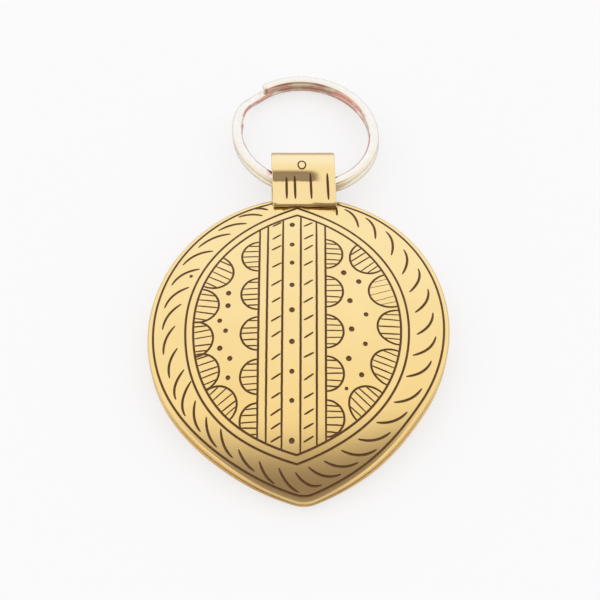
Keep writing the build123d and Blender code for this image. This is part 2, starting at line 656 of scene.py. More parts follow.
@dataclass
class CutSheet:
    """Plan of a sheet with its cuts, in triangles that follow every edge of a cut."""

    boundary: np.ndarray
    spacing: Point
    cut_slope: float = 0.75
    punch_depth: float = 0.45
    free_margin: float = 0.3
    mark_points: int = 12
    mark_ring: float = 0.6
    strokes: list[Stroke] = field(default_factory=list)
    marks: list[PunchMark] = field(default_factory=list)
    folds: list[np.ndarray] = field(default_factory=list)

    def line(self, points: np.ndarray, width: float, taper: float = 1.0, closed: bool = False) -> None:
        """Cuts a line.

        Args:
            points: Points along the middle of the line.
            width: Width where it is widest.
            taper: Share of that width left at its two ends.
            closed: Whether the line runs round to its start.
        """
        halves = np.full(len(points), width / 2)
        if not closed and taper < 1:
            share = np.linspace(-1, 1, len(points)) ** 4
            halves *= 1 - (1 - taper) * share
        self.strokes.append(Stroke(np.asarray(points, dtype=float), halves, closed))

    def depth_at(self, points: np.ndarray) -> np.ndarray:
        """Depth of the cuts below the sheet.

        Args:
            points: Places on the plan.

        Returns:
            One depth for each place, 0 outside the cuts.
        """
        depth = np.zeros(len(points))
        for stroke in self.strokes:
            line, halves = stroke.points, stroke.half_widths
            if stroke.closed:
                line = np.vstack([line, line[:1]])
                halves = np.append(halves, halves[0])
            widest = halves.max()
            near = np.all((points > line.min(0) - widest) & (points < line.max(0) + widest), axis=1)
            chosen = np.flatnonzero(near)
            if not len(chosen):
                continue
            spots = points[chosen]
            deepest = depth[chosen]
            for start, end, half_start, half_end in zip(line[:-1], line[1:], halves[:-1], halves[1:]):
                run = end - start
                share = np.clip((spots - start) @ run / max(run @ run, 1e-12), 0, 1)
                away = np.linalg.norm(spots - start - share[:, None] * run, axis=1)
                half = half_start + share * (half_end - half_start)
                deepest = np.maximum(deepest, self.cut_slope * (half - away))
            depth[chosen] = deepest
        for mark in self.marks:
            away = np.linalg.norm(points - np.array(mark.centre), axis=1)
            bowl = self.punch_depth * (mark.radius**2 - away**2) / mark.radius
            depth = np.maximum(depth, bowl)
        return depth

    def triangles(self) -> tuple[np.ndarray, np.ndarray, np.ndarray, np.ndarray, list[int]]:
        """Divides the plan into triangles.

        Returns:
            Points of the plan, depth of each, triangles, whether each triangle lies in a cut, and the
            numbers of the boundary's points in their order.
        """
        spots: list[np.ndarray] = []
        edges: list[tuple[int, int]] = []

        def chain(points: np.ndarray, closed: bool) -> None:
            """Adds a line that the triangles' edges follow.

            Args:
                points: Points of the line.
                closed: Whether it returns to its start.
            """
            first = sum(len(part) for part in spots)
            spots.append(np.asarray(points))
            edges.extend((first + place, first + place + 1) for place in range(len(points) - 1))
            if closed:
                edges.append((first + len(points) - 1, first))

        chain(self.boundary, True)
        for fold in self.folds:
            chain(fold, False)
        for stroke in self.strokes:
            aside = left_normals(stroke.points, stroke.closed) * stroke.half_widths[:, None]
            chain(stroke.points, stroke.closed)
            if stroke.closed:
                chain(stroke.points + aside, True)
                chain(stroke.points - aside, True)
                continue
            ahead = stroke.points[-1] - stroke.points[-2]
            behind = stroke.points[0] - stroke.points[1]
            nose = stroke.points[-1] + ahead / np.linalg.norm(ahead) * stroke.half_widths[-1]
            tail = stroke.points[0] + behind / np.linalg.norm(behind) * stroke.half_widths[0]
            round_trip = [tail[None], stroke.points + aside, nose[None], (stroke.points - aside)[::-1]]
            chain(np.vstack(round_trip), True)
        turn = np.linspace(0, 2 * math.pi, self.mark_points + 1)[:-1]
        circle = np.stack([np.cos(turn), np.sin(turn)], axis=1)
        for mark in self.marks:
            chain(np.array(mark.centre) + circle * mark.radius, True)
            chain(np.array(mark.centre) + circle * mark.radius * self.mark_ring, True)
            spots.append(np.array([mark.centre]))
        spots.append(self.free_points())
        points = np.vstack(spots)
        result = delaunay_2d_cdt(
            [Vector(point) for point in points], edges, [list(range(len(self.boundary)))], 1, 1e-5
        )
        solved = np.array([tuple(point) for point in result[0]])
        faces = np.array([tuple(face) for face in result[2]])
        rim = {source: number for number, sources in enumerate(result[3]) for source in sources}
        depth = np.maximum(self.depth_at(solved), 0)
        middles = solved[faces].mean(axis=1)
        cut = self.depth_at(middles) > 1e-3
        return solved, depth, faces, cut, [rim[number] for number in range(len(self.boundary))]

    def free_points(self) -> np.ndarray:
        """Points of an even grid, clear of the boundary and of every cut.

        Returns:
            The points of the grid.
        """
        low, high = self.boundary.min(0), self.boundary.max(0)
        across, up = self.spacing
        columns = np.arange(low[0] + across / 2, high[0], across)
        rows = np.arange(low[1] + up / 2, high[1], up)
        grid = np.array([(x + (place % 2) * across / 2, y) for place, y in enumerate(rows) for x in columns])
        grid = grid[within(self.boundary, grid)]
        clear = np.ones(len(grid), dtype=bool)
        lines = [self.boundary, *self.folds, *(stroke.points for stroke in self.strokes)]
        lines += [np.array([mark.centre]) for mark in self.marks]
        margins = [self.free_margin] * (1 + len(self.folds))
        margins += [self.free_margin + stroke.half_widths.max() for stroke in self.strokes]
        margins += [self.free_margin + mark.radius for mark in self.marks]
        for line, margin in zip(lines, margins):
            near = np.all((grid > line.min(0) - margin) & (grid < line.max(0) + margin), axis=1) & clear
            for place in np.flatnonzero(near):
                if np.min(np.linalg.norm(line - grid[place], axis=1)) < margin:
                    clear[place] = False
        return grid[clear]


def close_under(
    build: MeshBuild,
    sheet: CutSheet,
    ring: Sequence[int],
    shaped: Callable[[np.ndarray], tuple[np.ndarray, np.ndarray]],
) -> None:
    """Closes a mesh with the plain underside of its sheet.

    Args:
        build: Mesh to close.
        sheet: Plan of the underside.
        ring: Numbers of the points that the plan's boundary joins, in its order.
        shaped: Gives points and the sheet's outward normals for places on the plan.
    """
    plan, _, faces, _, rim = sheet.triangles()
    points, up = shaped(plan)
    renumber = dict(zip(rim, ring))
    first = build.add_points(points)
    for corners in faces[:, ::-1]:
        build.add_face([renumber.get(corner, first + corner) for corner in corners], -up[corners])


# The leaf


@dataclass(frozen=True)
class LeafOutline:
    """Outline of the leaf: a round crown, two flank arcs and a rounded tip."""

    crown_radius: float
    flank_angle: float = 32.0
    tip_reach: float = 28.0
    tip_lean: float = 1.0
    tip_round: float = 5.0
    skew: float = 0.036
    still_below: float = -24.0
    still_fade: float = 12.0
    step: float = 0.32

    def flank(self, side: int) -> tuple[np.ndarray, float]:
        """Works out the arc of a flank.

        Args:
            side: 1 for the right flank and -1 for the left.

        Returns:
            Centre and radius.
        """
        slope = math.radians(self.flank_angle)
        joint = np.array([side * math.cos(slope), -math.sin(slope)])
        tip = np.array([self.tip_lean, -self.tip_reach])
        extra = (tip @ tip - self.crown_radius**2) / (2 * (self.crown_radius - tip @ joint))
        return -extra * joint, self.crown_radius + extra

    def tip_centre(self) -> np.ndarray:
        """Finds where the small arc of the tip touches both flanks.

        Returns:
            Centre of the arc.
        """
        (left, left_radius), (right, right_radius) = self.flank(-1), self.flank(1)
        reach_left, reach_right = left_radius - self.tip_round, right_radius - self.tip_round
        span = right - left
        apart = np.linalg.norm(span)
        along = (apart**2 + reach_left**2 - reach_right**2) / (2 * apart)
        aside = math.sqrt(reach_left**2 - along**2)
        ahead = span / apart
        options = [left + ahead * along + sign * aside * np.array([-ahead[1], ahead[0]]) for sign in (-1, 1)]
        return min(options, key=lambda point: point[1])

    def drift(self, height: np.ndarray) -> np.ndarray:
        """How far right the hand-bent outline has drifted at a height. The tip stays in its place."""
        return self.skew * height * smooth_share(height, self.still_below, self.still_below + self.still_fade)

    def loop(self, inset: float) -> tuple[np.ndarray, np.ndarray]:
        """Outline drawn in by inset, anticlockwise from the right end of the crown.

        Args:
            inset: Distance inside the outline.

        Returns:
            Points and outward normals, as many for every inset.
        """
        tip = self.tip_centre()
        (left, left_radius), (right, right_radius) = self.flank(-1), self.flank(1)
        slope = math.radians(self.flank_angle)
        turn = 2 * math.pi
        left_end = math.atan2(tip[1] - left[1], tip[0] - left[0]) % turn
        right_end = math.atan2(tip[1] - right[1], tip[0] - right[0]) % turn
        arcs = (
            (np.zeros(2), self.crown_radius, -slope, math.pi + slope),
            (left, left_radius, math.pi + slope, left_end),
            (tip, self.tip_round, left_end, right_end),
            (right, right_radius, right_end, turn - slope),
        )
        points, normals = [], []
        for centre, radius, start, end in arcs:
            count = max(4, math.ceil(radius * (end - start) / self.step))
            angles = start + (end - start) * np.arange(count) / count
            outward = np.stack([np.cos(angles), np.sin(angles)], axis=1)
            points.append(centre + outward * (radius - inset))
            normals.append(outward)
        plan, outward = np.vstack(points), np.vstack(normals)
        reach = np.array([0.01, -0.01])
        slope = np.diff(self.drift(plan[:, 1:] + reach), axis=1)[:, 0] / np.diff(reach)
        plan[:, 0] += self.drift(plan[:, 1])
        outward[:, 1] -= slope * outward[:, 0]
        return plan, outward / np.linalg.norm(outward, axis=1)[:, None]


@dataclass(frozen=True)
class Dome:
    """Ball that the face of the box is part of."""

    apex: float
    radius: float = 72.0

    def height(self, plan: np.ndarray, under: float = 0.0) -> np.ndarray:
        """Height of the ball over places on the plan, or of a ball smaller by under."""
        inner = self.radius - under
        return self.apex - self.radius + np.sqrt(inner**2 - np.sum(plan**2, axis=1))

    def lifted(self, plan: np.ndarray, under: float = 0.0) -> np.ndarray:
        """Places on the plan with their height added."""
        return np.column_stack([plan, self.height(plan, under)])

    def normals(self, points: np.ndarray) -> np.ndarray:
        """Unit normals of the ball at points on it."""
        outward = points - np.array([0.0, 0.0, self.apex - self.radius])
        return outward / np.linalg.norm(outward, axis=1)[:, None]


@dataclass(frozen=True)
class StrapSeat:
    """Place on the face that swells with solder to meet the lip of the strap."""

    middle: float
    lip: float
    half_width: float
    height: float = 0.45
    run: float = 2.2
    run_out: float = 1.8
    fade: float = 1.2

    def lift(self, plan: np.ndarray) -> np.ndarray:
        """Height of the swelling over the dome.

        Args:
            plan: Places on the plan.

        Returns:
            One height for each place.
        """
        past = plan[:, 1] - self.lip
        ahead = np.clip(1 + past / self.run, 0, 1) ** 2
        behind = np.clip(1 - past / self.run_out, 0, 1)
        aside = np.clip((self.half_width - np.abs(plan[:, 0] - self.middle)) / self.fade + 1, 0, 1)
        return self.height * ahead * behind * aside**2 * (3 - 2 * aside)

    def tilted(self, plan: np.ndarray, up: np.ndarray) -> np.ndarray:
        """Normals of the dome, tilted by the slope of the swelling.

        Args:
            plan: Places on the plan.
            up: Normals of the dome there.

        Returns:
            Unit normals.
        """
        step = 0.01
        slopes = [
            (self.lift(plan + way) - self.lift(plan - way)) / (2 * step)
            for way in (np.array([step, 0.0]), np.array([0.0, step]))
        ]
        turned = up / up[:, 2:] - np.column_stack([*slopes, np.zeros(len(plan))])
        return turned / np.linalg.norm(turned, axis=1)[:, None]


@dataclass
class FacePattern:
    """Hand-cut ornament of the face: border, marquise, central band, half discs and punched dots."""

    leaf: LeafOutline
    border_inset: float = 0.95
    line_width: float = 0.37
    hatch_width: float = 0.24
    middle: Point = (-0.25, -0.6)
    marquise_half_width: float = 17.45
    marquise_top: float = 21.0
    marquise_bottom: float = -22.3
    marquise_bows: tuple[tuple[float, float, float], ...] = (
        (9.3, 3.2, 11.0), (9.2, 3.3, 11.8), (9.2, 3.2, 11.2), (10.5, 2.9, 12.4)
    )
    marquise_gap: float = 1.25
    band_lines: tuple[float, ...] = (-6.25, -4.95, -2.55, 0.3, 2.8, 4.2)
    slant_strips: tuple[float, ...] = (-3.5, 1.55)
    slant_heights: tuple[float, ...] = (
        17.9, 15.4, 13.1, 9.9, 6.5, 3.5, 0.3, -2.4, -5.9, -9.2, -12.0, -14.5, -16.7, -18.8
    )
    slant_reach: Point = (0.68, 0.42)
    slant_shake: Point = (0.15, 0.08)
    slant_share: float = 0.85
    band_lean: float = 0.06
    dot_column: float = -1.05
    dot_heights: tuple[float, ...] = (17.7, 13.7, 10.2, 6.1, 1.7, -3.6, -8.4, -12.9, -18.9)
    dot_radius: float = 0.43
    dot_range: Point = (0.9, 1.1)
    disc_pitch: float = 6.9
    disc_firsts: Point = (11.6, 12.0)
    disc_half: float = 2.75
    discs_a_side: int = 5
    disc_shake: float = 0.08
    rim_disc_half: float = 2.92
    rim_discs: tuple[Point, ...] = (
        (43.3, 3.3), (66.7, 3.7), (89.8, 3.5), (114.2, 3.55), (139.2, 3.4),
        (-54.0, 3.4), (-76.3, 3.4), (-96.8, 2.95), (-116.0, 2.95), (-136.0, 2.95),
    )
    faint_disc: int = 1
    hatch_lines: int = 5
    hatch_shake: float = 0.04
    hatch_tilt: float = 0.05
    hatch_range: Point = (0.85, 1.1)
    faint_share: float = 0.45
    left_dots: tuple[Point, ...] = (
        (-11.0, 5.0), (-11.05, 2.8), (-12.3, 0.3), (-11.35, -1.45),
        (-12.2, -4.3), (-10.6, -6.05), (-10.85, -9.1),
    )
    right_dots: tuple[Point, ...] = (
        (7.1, 8.5), (9.45, 7.0), (8.0, 3.5), (10.5, 1.25),
        (8.2, -1.35), (10.3, -3.7), (7.7, -6.2), (9.65, -8.7),
    )
    stray_dots: tuple[Point, ...] = ((-17.1, 8.7), (7.3, -10.95))
    stray_radius: float = 0.3
    border_strokes: tuple[tuple[float, float, float, float], ...] = (
        (14.5, 17.5, 0.05, 0.55), (19.5, 28.5, 0.08, 0.62), (28.8, 38.0, 0.08, 0.62),
        (39.0, 49.0, 0.13, 0.65), (50.0, 60.0, 0.2, 0.73), (60.5, 70.0, 0.2, 0.77),
        (70.5, 81.0, 0.22, 0.77), (81.5, 92.5, 0.27, 0.77), (92.3, 103.7, 0.24, 0.83),
        (103.5, 115.0, 0.28, 0.84), (116.5, 129.0, 0.27, 0.8), (128.5, 141.5, 0.27, 0.81),
        (139.5, 152.5, 0.26, 0.79), (148.0, 161.0, 0.16, 0.79), (156.5, 169.0, 0.19, 0.76),
        (164.0, 175.5, 0.17, 0.79), (171.5, 180.5, 0.15, 0.71), (179.5, 187.0, 0.11, 0.67),
        (188.0, 195.0, 0.1, 0.61), (196.0, 204.5, 0.2, 0.61), (205.5, 215.5, 0.2, 0.84),
        (213.0, 224.0, 0.14, 0.74), (222.0, 233.0, 0.14, 0.76), (231.0, 242.0, 0.08, 0.92),
        (239.0, 249.0, 0.14, 0.82), (248.5, 260.5, 0.27, 0.73), (259.5, 272.0, 0.27, 0.67),
        (271.0, 283.5, 0.29, 0.76), (281.0, 293.0, 0.27, 0.82), (292.0, 304.0, 0.26, 0.84),
        (302.5, 315.5, 0.26, 0.8), (313.0, 327.5, 0.29, 0.72), (324.5, 336.5, 0.29, 0.69),
        (335.0, 344.5, 0.2, 0.64), (342.5, 347.5, 0.1, 0.4),
    )
    border_bow: float = 0.3
    border_turn: float = 0.52
    border_taper: float = 0.5
    border_stroke: float = 0.41
    wobble: float = 0.05

    def marquise(self, inset: float) -> np.ndarray:
        """Closed pointed oval, clockwise from its top.

        Args:
            inset: Distance inside the outer line.

        Returns:
            Points of the oval.
        """
        middle_x, middle_y = self.middle
        sides = []
        for side, bows in ((1, self.marquise_bows[:2]), (-1, self.marquise_bows[2:])):
            flank_x = middle_x + side * self.marquise_half_width
            quarters = []
            for (reach_x, reach_y, flank_y), end in zip(bows, (self.marquise_top, self.marquise_bottom)):
                inward = -math.copysign(1, end)
                shoulder = (middle_x + side * reach_x, end + inward * reach_y)
                flank = (flank_x, middle_y - inward * flank_y)
                quarters.append(bezier((middle_x, end), shoulder, flank, (flank_x, middle_y), 60))
            line = np.vstack([quarters[0], quarters[1][-2::-1]])
            line = line - side * inset * left_normals(line, False)
            keep = side * (line[:, 0] - middle_x) > 0.02
            sides.append(respaced(line[keep], 0.45))
        ends = [np.array([[middle_x, self.peak(sides[0], first)]]) for first in (True, False)]
        return np.vstack([ends[0], sides[0], ends[1], sides[1][::-1]])

    def peak(self, line: np.ndarray, first: bool) -> float:
        """Carries a side of the oval on straight to the middle.

        Args:
            line: Points of the side.
            first: Whether to carry on its first end.

        Returns:
            Height at which it meets the middle.
        """
        near, next_one = (line[0], line[2]) if first else (line[-1], line[-3])
        slope = (near[1] - next_one[1]) / (near[0] - next_one[0])
        return near[1] + slope * (self.middle[0] - near[0])

    def at_bearing(self, line: np.ndarray, bearing: float) -> np.ndarray:
        """Where a ray from the middle meets a closed line.

        Args:
            line: Points of the line.
            bearing: Degrees clockwise from straight up.

        Returns:
            The meeting point.
        """
        away = line - np.array(self.middle)
        bearings = np.degrees(np.arctan2(away[:, 0], away[:, 1]))
        order = np.argsort(bearings)
        wanted = (bearing + 180) % 360 - 180
        reach = np.interp(wanted, bearings[order], np.linalg.norm(away, axis=1)[order], period=360)
        angle = math.radians(bearing)
        return np.array(self.middle) + reach * np.array([math.sin(angle), math.cos(angle)])

    def half_disc(
        self, sheet: CutSheet, ends: np.ndarray, bulge: float, limit: np.ndarray, faint: bool
    ) -> None:
        """Cuts a half disc on a base line, hatched across.

        Args:
            sheet: Sheet to cut.
            ends: The two ends of its base. It bulges to the left of the way from first to second.
            bulge: Height over the base.
            limit: Closed line that cuts stay within.
            faint: Whether the hatching is only scratched in.
        """
        middle = ends.mean(axis=0)
        base = (ends[1] - ends[0]) / 2
        half = np.linalg.norm(base)
        up = np.array([-base[1], base[0]]) / half * bulge
        turn = np.linspace(0, math.pi, 25)[:, None]
        self.trimmed(sheet, middle - base * np.cos(turn) + up * np.sin(turn), self.line_width * 0.95, limit)
        for place in range(self.hatch_lines):
            share = -1 + 2 * (place + 0.75) / (self.hatch_lines + 0.5)
            share += random.uniform(-self.hatch_shake, self.hatch_shake)
            start = middle + base * share
            tilt = random.uniform(-self.hatch_tilt, self.hatch_tilt)
            end = start + up * math.sqrt(1 - share**2) + base * tilt
            width = self.hatch_width * (self.faint_share if faint else random.uniform(*self.hatch_range))
            self.trimmed(sheet, respaced(np.array([start, end]), 0.5), width, limit)

    def trimmed(self, sheet: CutSheet, points: np.ndarray, width: float, limit: np.ndarray) -> None:
        """Cuts the part of a line that lies within a closed line, a little unsteadily.

        Args:
            sheet: Sheet to cut.
            points: Points of the line.
            width: Width of the cut.
            limit: The closed line.
        """
        fine = respaced(points, 0.1)
        kept = fine[within(limit, fine)]
        if len(kept) < 4:
            return
        shaken = respaced(kept, 0.4)
        shaken[1:-1] += np.random.uniform(-0.3, 0.3, (len(shaken) - 2, 2)) * self.wobble
        sheet.line(shaken, width, taper=0.75)

    def cut(self, sheet: CutSheet) -> None:
        """Cuts the whole pattern.

        Args:
            sheet: Sheet to cut.
        """
        border = self.leaf.loop(self.border_inset)[0]
        outer, inner = self.marquise(0), self.marquise(self.marquise_gap)
        for ring in (border, outer, inner):
            sheet.line(ring, self.line_width, closed=True)
        self.cut_band(sheet, inner)
        self.cut_discs(sheet, inner)
        self.cut_dots(sheet)
        # The strokes were laid out on an even leaf, so they keep their distance where the real edge leans.
        even = replace(self.leaf, skew=0.0).loop(self.border_inset)[0]
        self.cut_border(sheet, even, outer)

    def cut_band(self, sheet: CutSheet, limit: np.ndarray) -> None:
        """Cuts the upright lines of the central band and the slanting strokes between them.

        Args:
            sheet: Sheet to cut.
            limit: Closed line that cuts stay within.
        """
        for place in self.band_lines:
            top, bottom = place + self.band_lean, place - self.band_lean
            upright = np.array([[top, self.marquise_top], [bottom, self.marquise_bottom]])
            self.trimmed(sheet, upright, self.line_width, limit)
        reach_x, reach_y = self.slant_reach
        rise_shake, end_shake = self.slant_shake
        for strip in self.slant_strips:
            for height in self.slant_heights:
                lift = height + random.uniform(-rise_shake, rise_shake)
                ends = np.array([[strip - reach_x, lift - reach_y], [strip + reach_x, lift + reach_y]])
                ends += np.random.uniform(-end_shake, end_shake, (2, 2))
                self.trimmed(sheet, ends, self.line_width * self.slant_share, limit)

    def cut_discs(self, sheet: CutSheet, limit: np.ndarray) -> None:
        """Cuts the half discs along the band and along the inside of the marquise.

        Args:
            sheet: Sheet to cut.
            limit: Closed line that cuts stay within.
        """
        rise = np.array([0.0, self.disc_half])
        for base, first, sign in zip((self.band_lines[0], self.band_lines[-1]), self.disc_firsts, (1, -1)):
            for place in range(self.discs_a_side):
                shake = random.uniform(-self.disc_shake, self.disc_shake)
                foot = np.array([base, first - self.disc_pitch * place + shake])
                ends = np.array([foot - sign * rise, foot + sign * rise])
                self.half_disc(sheet, ends, self.disc_half, limit, False)
        for place, (bearing, bulge) in enumerate(self.rim_discs):
            ends = self.rim_chord(limit, bearing)
            self.half_disc(sheet, ends, bulge, limit, place == self.faint_disc)

    def rim_chord(self, line: np.ndarray, bearing: float) -> np.ndarray:
        """Base of a half disc on the marquise, so that the disc bulges inwards.

        Args:
            line: Points of the marquise.
            bearing: Bearing of the disc's middle.

        Returns:
            The two ends of the base.
        """
        away = np.linalg.norm(self.at_bearing(line, bearing) - self.middle)
        reach = math.degrees(self.rim_disc_half / away)
        return np.array([self.at_bearing(line, bearing + reach), self.at_bearing(line, bearing - reach)])

    def cut_dots(self, sheet: CutSheet) -> None:
        """Punches the dots of the central column and of the two fields.

        Args:
            sheet: Sheet to punch.
        """
        column = [(self.dot_column, height) for height in self.dot_heights]
        for centre in (*column, *self.left_dots, *self.right_dots):
            sheet.marks.append(PunchMark(centre, self.dot_radius * random.uniform(*self.dot_range)))
        sheet.marks.extend(PunchMark(centre, self.stray_radius) for centre in self.stray_dots)

    def cut_border(self, sheet: CutSheet, border: np.ndarray, marquise: np.ndarray) -> None:
        """Cuts the curved strokes of the border, which all sweep the same way round.

        Args:
            sheet: Sheet to cut.
            border: Closed line outside the strokes.
            marquise: Closed line inside them.
        """
        for begin, finish, first_share, last_share in self.border_strokes:
            stops = []
            for along, drop in ((0.0, 0.0), (self.border_turn, self.border_bow), (1.0, 1.0)):
                aim = begin + (finish - begin) * along
                outside, inside = self.at_bearing(border, aim), self.at_bearing(marquise, aim)
                stops.append(outside + (inside - outside) * (first_share + (last_share - first_share) * drop))
            start, over, end = stops
            handle = 2 * over - (start + end) / 2
            sweep = bezier(start, start + (handle - start) * 2 / 3, end + (handle - end) * 2 / 3, end, 30)
            sheet.line(respaced(sweep, 0.4), self.border_stroke, taper=self.border_taper)


@dataclass
class FrontPlate:
    """Domed, engraved front of the box."""

    leaf: LeafOutline
    dome: Dome
    seat: StrapSeat
    sheet: float = 0.8
    edge_round: float = 0.75
    edge_steps: int = 6
    grid: Point = (0.8, 0.7)
    under_grid: Point = (2.0, 1.8)

    def edge_rings(self) -> tuple[list[np.ndarray], list[np.ndarray]]:
        """Rolls the edge over, from the face to the underside.

        Returns:
            Rings of points in order, and their normals.
        """
        outline, outward = self.leaf.loop(0)
        slopes = np.arcsin(np.sum(outline * outward, axis=1) / self.dome.radius)
        rim = self.dome.height(outline)
        centre_height = rim + self.edge_round * (np.tan(slopes) - 1 / np.cos(slopes))
        rings, normals = [], []
        for step in range(self.edge_steps + 1):
            angles = (math.pi / 2 - slopes) * (1 - step / self.edge_steps)
            aside = self.edge_round * (np.cos(angles) - 1)
            plan = outline + outward * aside[:, None]
            rings.append(np.column_stack([plan, centre_height + self.edge_round * np.sin(angles)]))
            normals.append(np.column_stack([outward * np.cos(angles)[:, None], np.sin(angles)]))
        rings.append(self.dome.lifted(outline, self.sheet))
        normals.append(np.column_stack([outward, np.zeros(len(outline))]))
        return rings, normals

    def build(self, finishes: Sequence[bpy.types.Material]) -> bpy.types.Object:
        """Builds the plate as one closed mesh.

        Args:
            finishes: Finish of the face and finish of the cuts.

        Returns:
            The plate.
        """
        build = MeshBuild()
        rings, ring_normals = self.edge_rings()
        face = CutSheet(rings[0][:, :2], self.grid)
        FacePattern(self.leaf).cut(face)
        plan, depth, faces, cut, rim = face.triangles()
        top = self.dome.lifted(plan)
        up = self.seat.tilted(plan, self.dome.normals(top))
        top[:, 2] += self.seat.lift(plan)
        top[rim, 2] = rings[0][:, 2]
        build.add_points(top - up * depth[:, None])
        for corners, is_cut in zip(faces, cut):
            if is_cut:
                build.add_face(corners, None, Surface.CUT.value)
            else:
                build.add_face(corners, up[corners], Surface.POLISHED.value)
        numbers = build.add_bands(
            [ring[::-1] for ring in rings], [ring[::-1] for ring in ring_normals], first_ring=rim[::-1]
        )
        under = CutSheet(rings[-1][:, :2], self.under_grid)
        close_under(build, under, numbers[-1][::-1], self.underside)
        return build.make("engraved_front", finishes)

    def underside(self, plan: np.ndarray) -> tuple[np.ndarray, np.ndarray]:
        """Points of the hollow underside over places on the plan, and normals of the dome there."""
        below = self.dome.lifted(plan, self.sheet)
        return below, self.dome.normals(below)


# The strap


def rounded_path(corners: Sequence[np.ndarray], radii: Sequence[float]) -> np.ndarray:
    """Line through corners, with each corner between the two ends rounded off.

    Args:
        corners: Corners in order.
        radii: Radius at each corner but the first and the last.

    Returns:
        Points of the line.
    """
    path = [corners[0][None]]
    for before, corner, after, radius in zip(corners, corners[1:], corners[2:], radii):
        back = (before - corner) / np.linalg.norm(before - corner)
        ahead = (after - corner) / np.linalg.norm(after - corner)
        half = math.acos(back @ ahead) / 2
        centre = corner + (back + ahead) / np.linalg.norm(back + ahead) * radius / math.sin(half)
        first, last = (corner + way * radius / math.tan(half) - centre for way in (back, ahead))
        start = math.atan2(first[1], first[0])
        turn = (math.atan2(last[1], last[0]) - start + math.pi) % (2 * math.pi) - math.pi
        angles = start + turn * np.linspace(0, 1, 12)
        path.append(centre + radius * np.stack([np.cos(angles), np.sin(angles)], axis=1))
    path.append(corners[-1][None])
    return np.vstack(path)


def moved_aside(corners: Sequence[np.ndarray], reach: float) -> list[np.ndarray]:
    """Corners of the line that runs beside another.

    Args:
        corners: Corners of the first line.
        reach: Distance to its left.

    Returns:
        As many corners.
    """
    ways = [(after - before) / np.linalg.norm(after - before) for before, after in zip(corners, corners[1:])]
    lefts = [np.array([-way[1], way[0]]) for way in ways]
    bends = [(one + two) / (1 + one @ two) for one, two in zip(lefts, lefts[1:])]
    return [corner + reach * aside for corner, aside in zip(corners, [lefts[0], *bends, lefts[-1]])]


@dataclass(frozen=True)
class Profile:
    """Fold of a strip: outer face, inner face, outward normals and length along, point for point."""

    outer: np.ndarray
    inner: np.ndarray
    normals: np.ndarray
    lengths: np.ndarray


